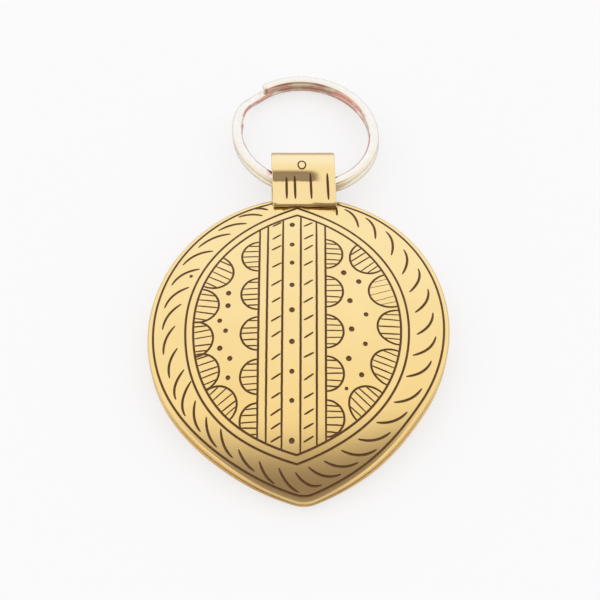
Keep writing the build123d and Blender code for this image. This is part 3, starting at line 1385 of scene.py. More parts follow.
@dataclass
class HangerStrap:
    """Strip of brass folded round the ring: lip on the face, leaf, band, roll and rear leaf."""

    leaf: LeafOutline
    dome: Dome
    seat: StrapSeat
    sheet: float = 0.7
    band_angle: float = 30.0
    band_run: float = 1.06
    leaf_angle: float = 14.0
    outer_bends: Point = (0.28, 0.45)
    inner_bends: Point = (0.12, 0.9)
    wall_inset: float = 0.3
    edge_round: float = 0.17
    edge_steps: int = 8
    grid: Point = (0.5, 0.28)
    under_grid: Point = (0.8, 0.3)
    crease_end: Point = (0.6, 3.6)
    smooth_lift: float = 0.3
    # Length of the lip's top that stays polished; past it the lip takes painted shade of the gap under the
    # leaf's end.
    lip_shine: float = 0.4
    lean: float = 0.4
    stroke_foot: float = 0.97
    strokes: tuple[tuple[float, float, float], ...] = (
        (-3.0, -2.93, 0.6), (-1.67, -1.54, 0.8), (0.87, 1.09, 1.2), (3.61, 3.83, 1.25)
    )
    stroke_width: float = 0.42
    circle: Point = (-0.5, 1.3)
    circle_radius: float = 0.62
    circle_width: float = 0.24

    def __post_init__(self) -> None:
        """Reads the strap's place from the frame and folds its profiles."""
        self.low, self.high = box_mm("hanger_strap")
        self.middle = (self.low[0] + self.high[0]) / 2
        self.width = self.high[0] - self.low[0]
        self.profiles = [self.profile(creased) for creased in (True, False)]
        self.length = self.profiles[0].lengths[-1]

    def corners(self) -> list[np.ndarray]:
        """Works out the bends of the strip along the middle of the sheet.

        Returns:
            Foot and top of the lip, crease and top of the band, as y and z.
        """
        slope, tilt = math.radians(self.band_angle), math.radians(self.leaf_angle)
        centre, radius = self.roll()
        band_top = centre + radius * np.array([-math.sin(slope), math.cos(slope)])
        crease = band_top - self.band_run * np.array([1.0, math.tan(slope)])
        lip_y = self.seat.lip + self.sheet / 2
        lip_top = np.array([lip_y, crease[1] - (crease[0] - lip_y) * math.tan(tilt)])
        foot = np.array([lip_y, self.face_height(np.array([[self.middle, lip_y]]))[0]])
        return [foot, lip_top, crease, band_top]

    def face_height(self, plan: np.ndarray) -> np.ndarray:
        """Height of the face of the box at places on the plan."""
        return self.dome.height(plan) + self.seat.lift(plan)

    def smoothed(self, across: np.ndarray) -> np.ndarray:
        """How far the crease has died out, from 0 to 1, by distance right of the middle."""
        return smooth_share(across, *self.crease_end)

    def shine_line(self, across: np.ndarray) -> np.ndarray:
        """Distance along the strip where the polish ends and the lip's painted shade begins."""
        foot, lip_top = self.corners()[:2]
        return lip_top[1] - foot[1] - self.lip_shine + self.smooth_lift * self.smoothed(across)

    def lean_at(self, along: np.ndarray) -> np.ndarray:
        """How far left the strip has drifted, by distance along it."""
        return self.lean * np.clip(along / (self.length / 2), 0, 1)

    def roll(self) -> tuple[np.ndarray, float]:
        """Centre of the roll as y and z, and its radius along the middle of the sheet."""
        outer = (self.high[2] - self.low[2]) / 2
        return np.array([self.high[1] - outer, self.low[2] + outer]), outer - self.sheet / 2

    def wall_reach(self, x: np.ndarray) -> np.ndarray:
        """Where the rear leaf ends on the side wall, as y for each x."""
        reach = self.leaf.crown_radius - self.wall_inset
        return np.sqrt(reach**2 - (x - self.leaf.skew * reach) ** 2)

    def profile(self, creased: bool) -> Profile:
        """Folded profile of the strip, from the foot of the lip to the end of the rear leaf.

        Args:
            creased: Whether the band has its crease, or runs straight from the lip to the roll.

        Returns:
            The profile as y and z.
        """
        corners = self.corners()
        centre, radius = self.roll()
        slope = math.radians(self.band_angle)
        if not creased:
            lip_top = corners[1] + np.array([0.0, self.smooth_lift])
            away = centre - lip_top
            slope = math.atan2(away[1], away[0]) + math.asin(radius / np.linalg.norm(away))
            corners = [corners[0], lip_top, centre + radius * np.array([-math.sin(slope), math.cos(slope)])]
        angles = np.linspace(math.pi / 2 + slope, -math.pi / 2, 90)
        around = np.stack([np.cos(angles), np.sin(angles)], axis=1)
        faces = []
        for rise, bends in ((self.sheet / 2, self.outer_bends), (-self.sheet / 2, self.inner_bends)):
            front = rounded_path(moved_aside(corners, rise), bends)
            end = np.array([[self.wall_reach(np.array(self.middle)), centre[1] - radius - rise]])
            faces.append(np.vstack([front[:-1], centre + (radius + rise) * around, end]))
        along = lengths_along((faces[0] + faces[1]) / 2)
        places = np.linspace(0, along[-1], math.ceil(along[-1] / 0.04))
        outer, inner = (
            np.stack([np.interp(places, along, face[:, axis]) for axis in (0, 1)], axis=1) for face in faces
        )
        return Profile(outer, inner, left_normals(outer, False), places)

    def bent(self, flat: np.ndarray, rise: np.ndarray) -> tuple[np.ndarray, np.ndarray]:
        """Folds places on the flat strip.

        Args:
            flat: Distance right of the middle and distance along the strip.
            rise: Height over the middle of the sheet.

        Returns:
            Points and outward normals.
        """
        across, along = flat[:, 0], flat[:, 1]
        share, through = self.smoothed(across), rise / self.sheet + 0.5
        spots, normals = np.zeros((len(flat), 2)), np.zeros((len(flat), 3))
        for weight, fold in zip((1 - share, share), self.profiles):
            place = along / self.length * fold.lengths[-1]
            for axis in (0, 1):
                inside = np.interp(place, fold.lengths, fold.inner[:, axis])
                outside = np.interp(place, fold.lengths, fold.outer[:, axis])
                spots[:, axis] += weight * (inside + through * (outside - inside))
                normals[:, axis + 1] += weight * np.interp(place, fold.lengths, fold.normals[:, axis])
        x, y, z = self.middle + across - self.lean_at(along), spots[:, 0], spots[:, 1]
        foot, lip_top = self.corners()[:2]
        near_foot = np.clip(1 - along / (lip_top[1] - foot[1] - self.lip_shine), 0, None)
        z += near_foot * (self.face_height(np.column_stack([x, y])) - foot[1])
        rear_run = self.roll()[0][0] - self.wall_reach(np.array(self.middle))
        near_end = np.clip(1 - (self.length - along) / rear_run, 0, None)
        y += near_end * (self.wall_reach(x) - self.wall_reach(np.array(self.middle)))
        return np.column_stack([x, y, z]), normals / np.linalg.norm(normals, axis=1)[:, None]

    def rim(self, inset: float) -> tuple[np.ndarray, np.ndarray]:
        """Edge of the flat strip drawn in by inset, anticlockwise, and the ways out of it.

        Args:
            inset: Distance inside the edge.

        Returns:
            Points and outward ways on the flat strip.
        """
        half = self.width / 2
        across, up = (max(2, round(size / 0.3)) for size in (self.width, self.length))
        left, right, bottom, top = -half + inset, half - inset, inset, self.length - inset
        sides = (
            ((left, bottom), (right, bottom), (0.0, -1.0), across),
            ((right, bottom), (right, top), (1.0, 0.0), up),
            ((right, top), (left, top), (0.0, 1.0), across),
            ((left, top), (left, bottom), (-1.0, 0.0), up),
        )
        points, ways = [], []
        for start, end, way, count in sides:
            share = (np.arange(count) / count)[:, None]
            points.append(np.array(start) * (1 - share) + np.array(end) * share)
            ways.append(np.tile(way, (count, 1)))
        return np.vstack(points), np.vstack(ways)

    def cut(self, sheet: CutSheet) -> None:
        """Cuts the four strokes and the punched circle, and marks where the lip's painted shade begins.

        Args:
            sheet: Flat strip to cut.
        """
        foot, lip_top, crease, band_top = self.corners()
        lip_run = lip_top[1] - foot[1]
        crease_run = lip_run + np.linalg.norm(crease - lip_top)
        roll_run = crease_run + np.linalg.norm(band_top - crease)
        for top, bottom, past_crease in self.strokes:
            ends = np.array([[bottom, lip_run + self.stroke_foot], [top, crease_run + past_crease]])
            ends[:, 0] += self.lean_at(ends[:, 1])
            sheet.line(respaced(ends, 0.3), self.stroke_width, taper=0.5)
        turn = np.linspace(0, 2 * math.pi, 21)[:-1, None]
        place = np.array([self.circle[0], roll_run + self.circle[1]])
        place[0] += self.lean_at(place[1])
        ring = place + self.circle_radius * np.hstack([np.cos(turn), np.sin(turn)])
        sheet.line(ring, self.circle_width, closed=True)
        reach = self.width / 2 - 2 * self.edge_round
        across = np.linspace(-reach, reach, 40)
        sheet.folds.append(np.column_stack([across, self.shine_line(across)]))

    def build(self, finishes: Sequence[bpy.types.Material]) -> bpy.types.Object:
        """Builds the strap as one closed mesh.

        Args:
            finishes: Finish of the strip, of the cuts and of the lip's painted shade.

        Returns:
            The strap.
        """
        build = MeshBuild()
        half = self.sheet / 2
        face = CutSheet(self.rim(self.edge_round)[0], self.grid)
        self.cut(face)
        plan, depth, faces, cut, rim = face.triangles()
        top, up = self.bent(plan, half - depth)
        build.add_points(top)
        middles = plan[faces].mean(axis=1)
        # Lip faces past the polish take painted shade: the shadow of the gap under the leaf's end, partly
        # tarnish.
        dark = middles[:, 1] < self.shine_line(middles[:, 0])
        for corners, is_cut, is_dark in zip(faces, cut, dark):
            slot = Surface.CUT if is_cut else Surface.LIP if is_dark else Surface.POLISHED
            build.add_face(corners, None if is_cut else up[corners], slot.value)
        rings, shading = [], []
        for angle in np.linspace(0, math.pi, self.edge_steps + 1):
            flat, ways = self.rim(self.edge_round * (1 - math.sin(angle)))
            core = half - self.edge_round
            rise = self.edge_round * math.cos(angle) + core * math.copysign(1, math.cos(angle) + 1e-9)
            points, normals = self.bent(flat, np.full(len(flat), rise))
            along = np.column_stack([np.zeros(len(flat)), normals[:, 2], -normals[:, 1]])
            sideways = ways[:, :1] * np.array([1.0, 0.0, 0.0]) + ways[:, 1:] * along
            rings.append(points[::-1])
            shading.append((normals * math.cos(angle) + sideways * math.sin(angle))[::-1])
        numbers = build.add_bands(rings, shading, first_ring=rim[::-1])
        inside = CutSheet(self.rim(self.edge_round)[0], self.under_grid)
        close_under(
            build, inside, numbers[-1][::-1], lambda plan: self.bent(plan, np.full(len(plan), -half))
        )
        return build.make("folded_strap", finishes)


# Sections swept along a line


def rounded_section(width: float, height: float, radius: float) -> tuple[np.ndarray, np.ndarray]:
    """Rounded rectangle round the origin, anticlockwise.

    Args:
        width: Size across.
        height: Size upwards.
        radius: Radius of the corners.

    Returns:
        Points and outward normals.
    """
    points, normals = [], []
    for quarter in range(4):
        corner = math.pi / 4 + quarter * math.pi / 2
        reach = np.array([width / 2 - radius, height / 2 - radius])
        centre = reach * np.sign([math.cos(corner), math.sin(corner)])
        angles = quarter * math.pi / 2 + np.linspace(0, math.pi / 2, 5)
        outward = np.stack([np.cos(angles), np.sin(angles)], axis=1)
        points.append(centre + radius * outward)
        normals.append(outward)
    return np.vstack(points), np.vstack(normals)


def crowned_section(width: float, height: float, power: float, count: int) -> tuple[np.ndarray, np.ndarray]:
    """Oval with flattened sides round the origin, anticlockwise.

    Args:
        width: Size across.
        height: Size upwards.
        power: 2 for an ellipse, more for flatter sides.
        count: How many points.

    Returns:
        Points and outward normals.
    """
    angles = np.linspace(0, 2 * math.pi, count + 1)[:-1]
    round_one = np.stack([np.cos(angles), np.sin(angles)], axis=1)
    unit = np.sign(round_one) * np.abs(round_one) ** (2 / power)
    size = np.array([width, height])
    outward = np.sign(unit) * np.abs(unit) ** (power - 1) / size
    return unit * size / 2, outward / np.linalg.norm(outward, axis=1)[:, None]


@dataclass
class SplitRing:
    """Key ring of flattened spring wire, bent a little out of round: two turns joined by one crossing."""

    wire_width: float = 1.7
    wire_thickness: float = 1.2
    wire_power: float = 2.3
    wire_sides: int = 28
    turn_rise: float = 1.26
    lift: float = 0.1
    lower_shift: Point = (-0.35, -0.45)
    upper_shift: Point = (-0.41, -0.4)
    stretch: Point = (-0.2, -0.6)
    skew: float = 0.4
    crossing_start: float = 132.0
    crossing_span: float = 28.0
    end_gap: float = 6.0
    end_round: float = 2.2
    end_first: float = 0.25
    end_steps: int = 6
    end_close: float = 0.96
    inner_side_limit: float = 0.5
    step: float = 1.5

    def offset(self, angle: float) -> np.ndarray:
        """How far the wire stands right of, ahead of and over a true circle.

        Args:
            angle: Degrees round the ring, counted on from turn to turn.

        Returns:
            The three distances.
        """
        start = 360 + self.crossing_start
        share = smooth_share(angle, start, start + self.crossing_span)
        shift = np.array(self.lower_shift) * (1 - share) + np.array(self.upper_shift) * share
        across, along = math.cos(math.radians(angle)), math.sin(math.radians(angle))
        bend = np.array(self.stretch) * (across, along) - self.skew * np.array([along, across])
        return np.append(shift + bend, self.lift + self.turn_rise * (share - 0.5))

    def place(self) -> tuple[np.ndarray, np.ndarray]:
        """Centre of the ring in millimetres and its axis, from the record's mount."""
        mount = next(entry for entry in frame["record"]["mounts"] if entry["name"] == "ring_loop")
        return np.array(mount["pos_m"]) / MM, np.array(mount["axis"])

    def angles(self) -> np.ndarray:
        """Places the wire's sections, closer together in its rounded ends.

        Returns:
            Degrees round the ring, from end to end.
        """
        start = self.crossing_start + self.crossing_span + self.end_gap
        end = 720 + self.crossing_start - self.end_gap
        tip = self.end_round * (1 - np.cos(np.linspace(self.end_first, math.pi / 2, self.end_steps)))
        between = np.arange(start + self.end_round + self.step, end - self.end_round, self.step)
        return np.concatenate([start + tip, between, end - tip[::-1]])

    def build(self, finishes: Sequence[bpy.types.Material]) -> bpy.types.Object:
        """Builds the wire as one closed mesh.

        Args:
            finishes: Finish of the wire, and finish of its inner side, whose rosy tint is painted reflection
                of the brass strap.

        Returns:
            The ring.
        """
        centre, axis = self.place()
        right = np.array([1.0, 0.0, 0.0])
        ahead = np.cross(axis, right)
        ways = np.array([right, ahead, axis])
        low, high = box_mm("split_ring")
        radius = (high[0] - low[0]) / 2 - self.wire_width / 2
        size = (self.wire_width, self.wire_thickness)
        section, outward = crowned_section(*size, self.wire_power, self.wire_sides)
        section, outward = section[::-1], outward[::-1]
        angles = self.angles()
        rings, shading = [], []
        for angle in angles:
            turn = math.radians(angle)
            away = right * math.cos(turn) + ahead * math.sin(turn)
            run = ahead * math.cos(turn) - right * math.sin(turn)
            climb = (self.offset(angle + 0.5)[2] - self.offset(angle - 0.5)[2]) / (math.radians(1) * radius)
            run = (run + axis * climb) / math.hypot(1, climb)
            up = np.cross(away, run)
            up *= np.sign(up @ axis)
            place = centre + away * radius + self.offset(angle) @ ways
            closing = max(0.0, 1 - min(angle - angles[0], angles[-1] - angle) / self.end_round)
            facing = run * math.copysign(closing, angle - angles.mean())
            girth = math.sqrt(1 - min(closing, self.end_close) ** 2)
            rings.append(place + girth * (section[:, :1] * away + section[:, 1:] * up))
            shading.append(girth * (outward[:, :1] * away + outward[:, 1:] * up) + facing)
        build = MeshBuild()
        numbers = build.add_bands(rings, shading)
        # Inner-facing faces of the wire take the second finish, whose rosy tint is painted reflection of the
        # brass strap.
        sides = outward + np.roll(outward, -1, axis=0)
        inner_reflection = sides[:, 0] < -self.inner_side_limit * np.linalg.norm(sides, axis=1)
        build.slots = [int(inner_reflection[face % len(section)]) for face in range(len(build.faces))]
        build.add_face(numbers[0][::-1])
        build.add_face(numbers[-1])
        return build.make("two_turn_ring", finishes)


@dataclass
class BackShell:
    """Plain sheet parts behind the face: side wall, back plate and collar."""

    leaf: LeafOutline
    dome: Dome
    front_sheet: float = 0.8
    wall_sheet: float = 0.7
    wall_inset: float = 0.3
    back_round: float = 0.2
    collar_sheet: float = 0.6
    slip: float = 0.1
    edge_round: float = 0.08

    def band(
        self, inset: float, sheet: float, floor: float, top: Callable[[np.ndarray], np.ndarray]
    ) -> tuple[list[np.ndarray], list[np.ndarray]]:
        """Upright band along the outline.

        Args:
            inset: Distance of its outer face inside the outline.
            sheet: Its thickness.
            floor: Height of its lower edge.
            top: Gives the height of its upper edge over places on the plan.

        Returns:
            One ring of points for each place along the outline, and their normals.
        """
        section, facing = rounded_section(sheet, 1.0, self.edge_round)
        share = (section[:, 1] - section[:, 1].min()) / np.ptp(section[:, 1])
        columns = [self.leaf.loop(inset + sheet / 2 - across) for across in section[:, 0]]
        heights = [floor + part * (top(plan) - floor) for part, (plan, _) in zip(share, columns)]
        rings, shading = [], []
        for place in range(len(columns[0][0])):
            points = [(*plan[place], height[place]) for (plan, _), height in zip(columns, heights)]
            outward = columns[0][1][place]
            rings.append(np.array(points)[::-1])
            shading.append(np.column_stack([facing[:, :1] * outward, facing[:, 1]])[::-1])
        return rings, shading

    def build_wall(self, finish: bpy.types.Material) -> bpy.types.Object:
        """Builds the side wall under the face.

        Args:
            finish: Finish of the sheet.

        Returns:
            The wall.
        """
        low, _ = box_mm("side_wall")
        rings, shading = self.band(
            self.wall_inset, self.wall_sheet, low[2], lambda plan: self.dome.height(plan, self.front_sheet)
        )
        build = MeshBuild()
        build.add_bands(rings, shading, endless=True)
        return build.make("soldered_wall", [finish])

    def build_collar(self, finish: bpy.types.Material) -> bpy.types.Object:
        """Builds the collar, which ends short of the tip.

        Args:
            finish: Finish of the sheet.

        Returns:
            The collar.
        """
        low, high = box_mm("back_collar")
        inset = self.wall_inset + self.wall_sheet + self.slip
        rings, shading = self.band(
            inset, self.collar_sheet, low[2], lambda plan: np.full(len(plan), high[2])
        )
        keep = [place for place, ring in enumerate(rings) if ring[:, 1].min() >= low[1]]
        steps = (1, 1 - len(rings))
        first = next(place for place in range(len(keep)) if keep[place] - keep[place - 1] not in steps)
        keep = keep[first:] + keep[:first]
        build = MeshBuild()
        numbers = build.add_bands([rings[place] for place in keep], [shading[place] for place in keep])
        build.add_face(numbers[0][::-1])
        build.add_face(numbers[-1])
        return build.make("slip_collar", [finish])

    def build_back(self, finish: bpy.types.Material) -> bpy.types.Object:
        """Builds the flat back with its edges rounded.

        Args:
            finish: Finish of the sheet.

        Returns:
            The back plate.
        """
        low, high = box_mm("back_plate")
        thickness = high[2] - low[2]
        rings, shading = [], []
        for angle in np.linspace(math.pi / 2, -math.pi / 2, 9):
            plan, outward = self.leaf.loop(self.back_round * (1 - math.cos(angle)))
            core = (thickness / 2 - self.back_round) * np.sign(round(angle, 6))
            height = low[2] + thickness / 2 + core + self.back_round * math.sin(angle)
            rings.append(np.column_stack([plan, np.full(len(plan), height)])[::-1])
            flat = outward * math.cos(angle)
            shading.append(np.column_stack([flat, np.full(len(plan), math.sin(angle))])[::-1])
        build = MeshBuild()
        numbers = build.add_bands(rings, shading)
        build.add_face(numbers[0][::-1])
        build.add_face(numbers[-1])
        return build.make("flat_back", [finish])


# Inside the box


@dataclass
class PrayerPacket:
    """Strip of paper folded over and over into a flat packet."""

    paper: float = 0.19
    pitch: float = 0.23
    runs: int = 6
    flap_short: float = 3.4
    stations: int = 41
    ripple: float = 0.05
    ripple_waves: Point = (0.9, 0.37)

    def fold_line(self, half_width: float) -> np.ndarray:
        """Middle of the paper across the packet, from the inside of the fold to the flap.

        Args:
            half_width: Half of the packet's width.

        Returns:
            Points as distance across and height over the packet's middle.
        """
        reach = half_width - self.pitch / 2 * self.runs
        line: list[np.ndarray] = []
        for run in range(self.runs):
            side = 1 if run % 2 == 0 else -1
            lift = side * self.pitch / 2 * (run + 0.5)
            end = reach - (self.flap_short if run == self.runs - 1 else 0)
            line.append(np.array([[-side * reach, lift], [side * end, lift]]))
            if run < self.runs - 1:
                after = -side * self.pitch / 2 * (run + 1.5)
                turn = np.linspace(math.pi / 2, -math.pi / 2, 10)[1:-1, None]
                middle, radius = (lift + after) / 2, abs(lift - after) / 2
                across = side * (reach + radius * np.cos(turn))
                line.append(np.hstack([across, middle + side * radius * np.sin(turn)]))
        return respaced(np.vstack(line), 0.12)

    def build(self, finish: bpy.types.Material) -> bpy.types.Object:
        """Builds the packet.

        Args:
            finish: Finish of the paper.

        Returns:
            The packet.
        """
        low, high = box_mm("prayer_packet")
        middle = (low + high) / 2
        line = self.fold_line((high[1] - low[1]) / 2)
        aside = left_normals(line, False) * self.paper / 2
        section = np.vstack([line - aside, (line + aside)[::-1]])
        rings = []
        for x in np.linspace(low[0], high[0], self.stations):
            swell = self.ripple * math.sin(x * self.ripple_waves[0]) * math.cos(x * self.ripple_waves[1])
            plan = np.column_stack([np.full(len(section), x), section[:, 0] + swell, section[:, 1]])
            rings.append(plan + np.array([0.0, middle[1], middle[2]]))
        build = MeshBuild()
        numbers = build.add_bands(rings, self.sheet_normals(section, len(rings)))
        for ends, flip in ((numbers[0], True), (numbers[-1], False)):
            size = len(ends)
            for place in range(len(line) - 1):
                quad = [ends[place], ends[place + 1], ends[size - 2 - place], ends[size - 1 - place]]
                build.add_face(quad[::-1] if flip else quad)
        return build.make("folded_packet", [finish])

    def sheet_normals(self, section: np.ndarray, count: int) -> list[np.ndarray]:
        """Normals of the paper for each ring of the packet."""
        flat = -left_normals(section, True)
        return [np.column_stack([np.zeros(len(flat)), flat])] * count


@dataclass
class BindingThread:
    """Two-ply thread tied both ways round the packet, with a knot on top."""

    thickness: float = 0.5
    twist: float = 1.3
    ply_share: float = 0.56
    sides: int = 7
    knot_size: float = 0.16
    knot_rise: float = 1.6
    knot_girth: float = 0.4
    tail: float = 2.6
    tail_turns: Point = (0.6, 3.4)
    tail_bend: float = 0.5
    steep_run: float = 0.9
    skew_way: tuple[float, float, float] = (0.31, 0.57, 0.76)

    def loop(self, half: float, floor: float, top: float) -> np.ndarray:
        """Closed way of the thread round the packet, as distance across and height.

        Args:
            half: Half of the packet's size across.
            floor: Height of the packet's lower face.
            top: Height of its upper face.

        Returns:
            Points of the way.
        """
        clear = self.thickness / 2
        size = np.array([half + clear, (top - floor) / 2 + clear])
        corner = self.thickness
        points, _ = rounded_section(2 * size[0], 2 * size[1], corner)
        closed = np.vstack([points, points[:1]])
        return respaced(closed, 0.1)[:-1] + np.array([0.0, (top + floor) / 2])

    def tube(self, build: MeshBuild, way: np.ndarray, radius: float, closed: bool) -> None:
        """Adds a round tube along a way through space.

        Args:
            build: Mesh that takes the tube.
            way: Points of the way.
            radius: Radius of the tube.
            closed: Whether the way returns to its start.
        """
        run = unit_runs(way, closed)
        side = np.cross(run, self.skew_way)
        side /= np.linalg.norm(side, axis=1)[:, None]
        up = np.cross(run, side)
        angles = np.linspace(0, 2 * math.pi, self.sides + 1)[:-1]
        rings, shading = [], []
        for place in range(len(way)):
            outward = np.cos(angles)[:, None] * side[place] + np.sin(angles)[:, None] * up[place]
            shading.append(outward)
            rings.append(way[place] + radius * outward)
        numbers = build.add_bands(rings, shading, endless=closed)
        if not closed:
            build.add_face(numbers[0][::-1])
            build.add_face(numbers[-1])

    def plies(self, build: MeshBuild, way: np.ndarray, closed: bool) -> None:
        """Adds the two twisted plies of the thread along its way.

        Args:
            build: Mesh that takes the plies.
            way: Points of the way.
            closed: Whether the way returns to its start.
        """
        run = unit_runs(way, closed)
        plane = np.array([0.0, 0.0, 1.0])
        if abs(run[:, 2]).max() >= self.steep_run:
            plane = np.cross(way[1] - way[0], way[len(way) // 3] - way[0])
        side = np.tile(plane / np.linalg.norm(plane), (len(way), 1))
        up = np.cross(run, side)
        along = lengths_along(way)
        turns = round(along[-1] / self.twist)
        ply = self.thickness / 2 * self.ply_share
        for phase in (0, math.pi):
            angle = along / (along[-1] + (along[1] if closed else 0)) * turns * 2 * math.pi + phase
            shift = np.cos(angle)[:, None] * side + np.sin(angle)[:, None] * up
            self.tube(build, way + shift * (self.thickness / 2 - ply), ply, closed)

    def build(self, finish: bpy.types.Material) -> bpy.types.Object:
        """Builds both loops, the knot and its two ends.

        Args:
            finish: Finish of the thread.

        Returns:
            The thread.
        """
        low, high = box_mm("prayer_packet")
        middle, half = (low + high) / 2, (high - low) / 2
        build = MeshBuild()
        for axis in (0, 1):
            flat = self.loop(half[axis], low[2], high[2])
            way = np.tile(middle, (len(flat), 1))
            way[:, axis] += flat[:, 0]
            way[:, 2] = flat[:, 1]
            self.plies(build, way, True)
        knot = np.array([middle[0], middle[1], high[2] + self.thickness])
        t = np.linspace(0, 2 * math.pi, 61)[:-1]
        across, along = np.sin(t) + 2 * np.sin(2 * t), np.cos(t) - 2 * np.cos(2 * t)
        trefoil = np.column_stack([across, along, -self.knot_rise * np.sin(3 * t)])
        self.tube(build, knot + self.knot_size * trefoil, self.thickness * self.knot_girth, True)
        for turn in self.tail_turns:
            reach = np.linspace(0, 1, 24)[:, None]
            away = np.array([math.cos(turn), math.sin(turn), 0.0])
            bend = np.array([-math.sin(turn), math.cos(turn), 0.0])
            way = knot + away * reach * self.tail + bend * self.tail_bend * reach**2
            way[:, 2] -= (self.thickness / 2) * np.clip(reach[:, 0] * 3, 0, 1)
            self.plies(build, way, False)
        return build.make("twisted_thread", [finish])


# Scene


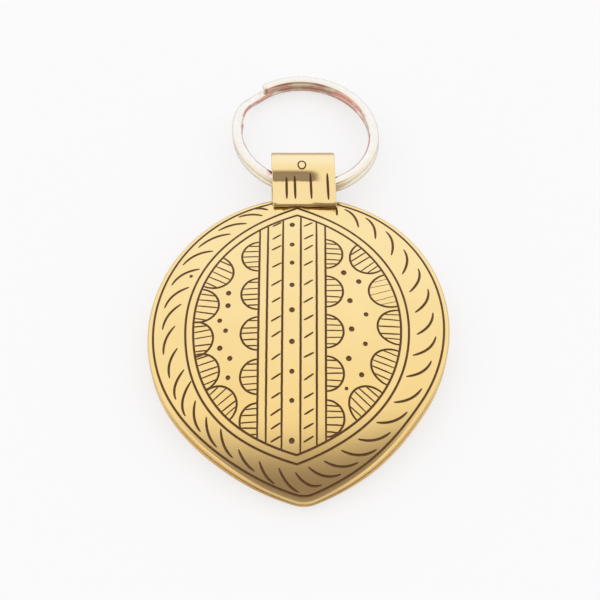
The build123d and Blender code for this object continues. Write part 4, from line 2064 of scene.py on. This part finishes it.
@dataclass
class Studio:
    """White card, soft light all round and the camera at the photograph's place."""

    aim: tuple[float, float, float] = (0.2, 5.5, 3.0)
    distance: float = 240.0
    elevation: float = 65.4
    lens: float = 90.4
    floor_half: float = 2000.0
    shade_edge: Point = (-0.395, -0.085)
    shade_bow: float = 0.42
    shade_lean: float = 0.06
    shade_sides: Point = (0.5, 0.75)
    shade_feet: Point = (-0.62, -0.4)
    feet_share: float = 0.88
    north: Point = (-0.2, 0.8)
    warm_light: Light = (1.13, 1.07, 0.95, 1.0)
    cool_light: Light = (1.17, 1.23, 1.45, 1.0)
    dark_light: Light = (0.34, 0.28, 0.28, 1.0)

    def build(self) -> None:
        """Builds the floor, the light and the camera."""
        self.lay_floor()
        self.light_world()
        self.place_camera()
        bpy.context.scene.view_settings.view_transform = "Standard"

    def lay_floor(self) -> None:
        """Lays the white card."""
        build = MeshBuild()
        reach = self.floor_half
        corners = np.array([(-reach, -reach, 0), (reach, -reach, 0), (reach, reach, 0), (-reach, reach, 0)])
        build.add_points(corners)
        build.add_face((0, 1, 2, 3))
        floor = build.make("floor", [PaleFloor().build()])

    def light_world(self) -> None:
        """Lights the scene softly from all round, with a dark place that the polished face mirrors."""
        world = bpy.data.worlds.new("studio")
        bpy.context.scene.world = world
        world.use_nodes = True
        tree = world.node_tree
        tree.nodes.clear()
        way = add_node(tree, "ShaderNodeTexCoord").outputs["Generated"]
        parts = add_node(tree, "ShaderNodeSeparateXYZ", links={"Vector": way})
        mask = self.dark_place(tree, parts)
        settings = {"From Min": self.north[0], "From Max": self.north[1]}
        north = add_node(tree, "ShaderNodeMapRange", settings, {"Value": parts.outputs["Y"]})
        sky = add_node(
            tree,
            "ShaderNodeMix",
            {"data_type": "RGBA", 6: self.warm_light, 7: self.cool_light},
            {0: north.outputs["Result"]},
        )
        room = add_node(
            tree,
            "ShaderNodeMix",
            {"data_type": "RGBA", 7: self.dark_light},
            {0: mask, 6: sky.outputs[2]},
        )
        path = add_node(tree, "ShaderNodeLightPath")
        seen = add_node(
            tree,
            "ShaderNodeMix",
            {"data_type": "RGBA", 7: (1.0, 1.0, 1.0, 1.0)},
            {0: path.outputs["Is Camera Ray"], 6: room.outputs[2]},
        )
        glow = add_node(tree, "ShaderNodeBackground", {"Strength": 1.0}, {"Color": seen.outputs[2]})
        add_node(tree, "ShaderNodeOutputWorld", links={"Surface": glow.outputs["Background"]})

    def dark_place(self, tree: bpy.types.NodeTree, parts: bpy.types.Node) -> Socket:
        """Marks the dark part of the room, which has a bowed and slightly tilted upper edge.

        Args:
            tree: Node tree of the world.
            parts: Node that gives the direction's x, y and z.

        Returns:
            Up to 1 in that part and 0 elsewhere.
        """
        x, y = parts.outputs["X"], parts.outputs["Y"]
        settings = {"operation": "MULTIPLY_ADD", 1: self.shade_bow, 2: self.shade_lean}
        bow = add_node(tree, "ShaderNodeMath", settings, {0: x})
        shift = add_node(tree, "ShaderNodeMath", {"operation": "MULTIPLY"}, {0: bow.outputs[0], 1: x})
        level = add_node(tree, "ShaderNodeMath", {"operation": "SUBTRACT"}, {0: y, 1: shift.outputs[0]})
        side = add_node(tree, "ShaderNodeMath", {"operation": "ABSOLUTE"}, {0: x})
        shade = None
        for socket, (start, end), (first, last) in (
            (level.outputs[0], self.shade_edge, (1.0, 0.0)),
            (side.outputs[0], self.shade_sides, (1.0, 0.0)),
            (y, self.shade_feet, (self.feet_share, 1.0)),
        ):
            settings = {"From Min": start, "From Max": end, "To Min": first, "To Max": last}
            settings["interpolation_type"] = "SMOOTHSTEP"
            share = add_node(tree, "ShaderNodeMapRange", settings, {"Value": socket}).outputs["Result"]
            if shade is not None:
                links = {0: shade, 1: share}
                share = add_node(tree, "ShaderNodeMath", {"operation": "MULTIPLY"}, links).outputs[0]
            shade = share
        return shade

    def place_camera(self) -> None:
        """Places the camera and aims it at the box."""
        rise = math.radians(self.elevation)
        back = Vector((0.0, -math.cos(rise), math.sin(rise)))
        data = bpy.data.cameras.new("camera")
        data.sensor_width = 36.0
        data.lens = self.lens
        data.clip_start = 0.01
        camera = bpy.data.objects.new("camera", data)
        camera.location = (Vector(self.aim) + back * self.distance) * MM
        camera.rotation_mode = "QUATERNION"
        camera.rotation_quaternion = (-back).to_track_quat("-Z", "Y")
        bpy.context.collection.objects.link(camera)
        bpy.context.scene.camera = camera


def main() -> None:
    """Builds every piece in order."""
    logging.basicConfig(level=logging.INFO, format="%(name)s: %(message)s")
    random.seed(SEED)
    np.random.seed(SEED)
    low, high = box_mm("front_plate")
    leaf = LeafOutline(crown_radius=(high[0] - low[0]) / 2)
    dome = Dome(apex=high[2])
    face_brass = PolishedBrass("hand_polished_brass").build()
    patina = PatinaAndPaintedShade().build()
    strap_low, strap_high = box_mm("hanger_strap")
    half_width = (strap_high[0] - strap_low[0]) / 2
    seat = StrapSeat(strap_low[0] + half_width, strap_low[1] - LIP_DROP, half_width)
    plate = FrontPlate(leaf, dome, seat).build([face_brass, patina])
    settle(plate, "front", "front_plate")
    strap_brass = PolishedBrass("finger_polished_brass", bright="#EFDAA6", deep="#E8D097").build()
    # The strap's lip is painted this dark brown as shade of the gap under its end, partly tarnish.
    lip_shade = PatinaAndPaintedShade("lip_painted_shade", dark="#7F6049", light="#A48769").build()
    strap = HangerStrap(leaf, dome, seat).build([strap_brass, patina, lip_shade])
    settle(strap, "front", "hanger_strap")
    plain_brass = PolishedBrass("plain_sheet_brass", bright="#EBCD8C", deep="#E0BC74", roughness=0.26).build()
    shell = BackShell(leaf, dome)
    settle(shell.build_wall(plain_brass), "front", "side_wall")
    settle(shell.build_back(plain_brass), "back", "back_plate")
    settle(shell.build_collar(plain_brass), "back", "back_collar")
    nickel = NickelPlate("bright_nickel_plate", wear_and_reflection=(0.66, 0.8)).build()
    # The rosy tint on the ring's inner side is painted reflection of the brass strap.
    inner_reflection = NickelPlate("nickel_with_painted_reflection", wear_and_reflection=(0.42, 0.52)).build()
    settle(SplitRing().build([nickel, inner_reflection]), "ring", "split_ring")
    settle(PrayerPacket().build(HandmadePaper().build()), "back", "prayer_packet")
    settle(BindingThread().build(TwistedCotton().build()), "back", "binding_thread")
    Studio().build()


if __name__ == "__main__":
    main()
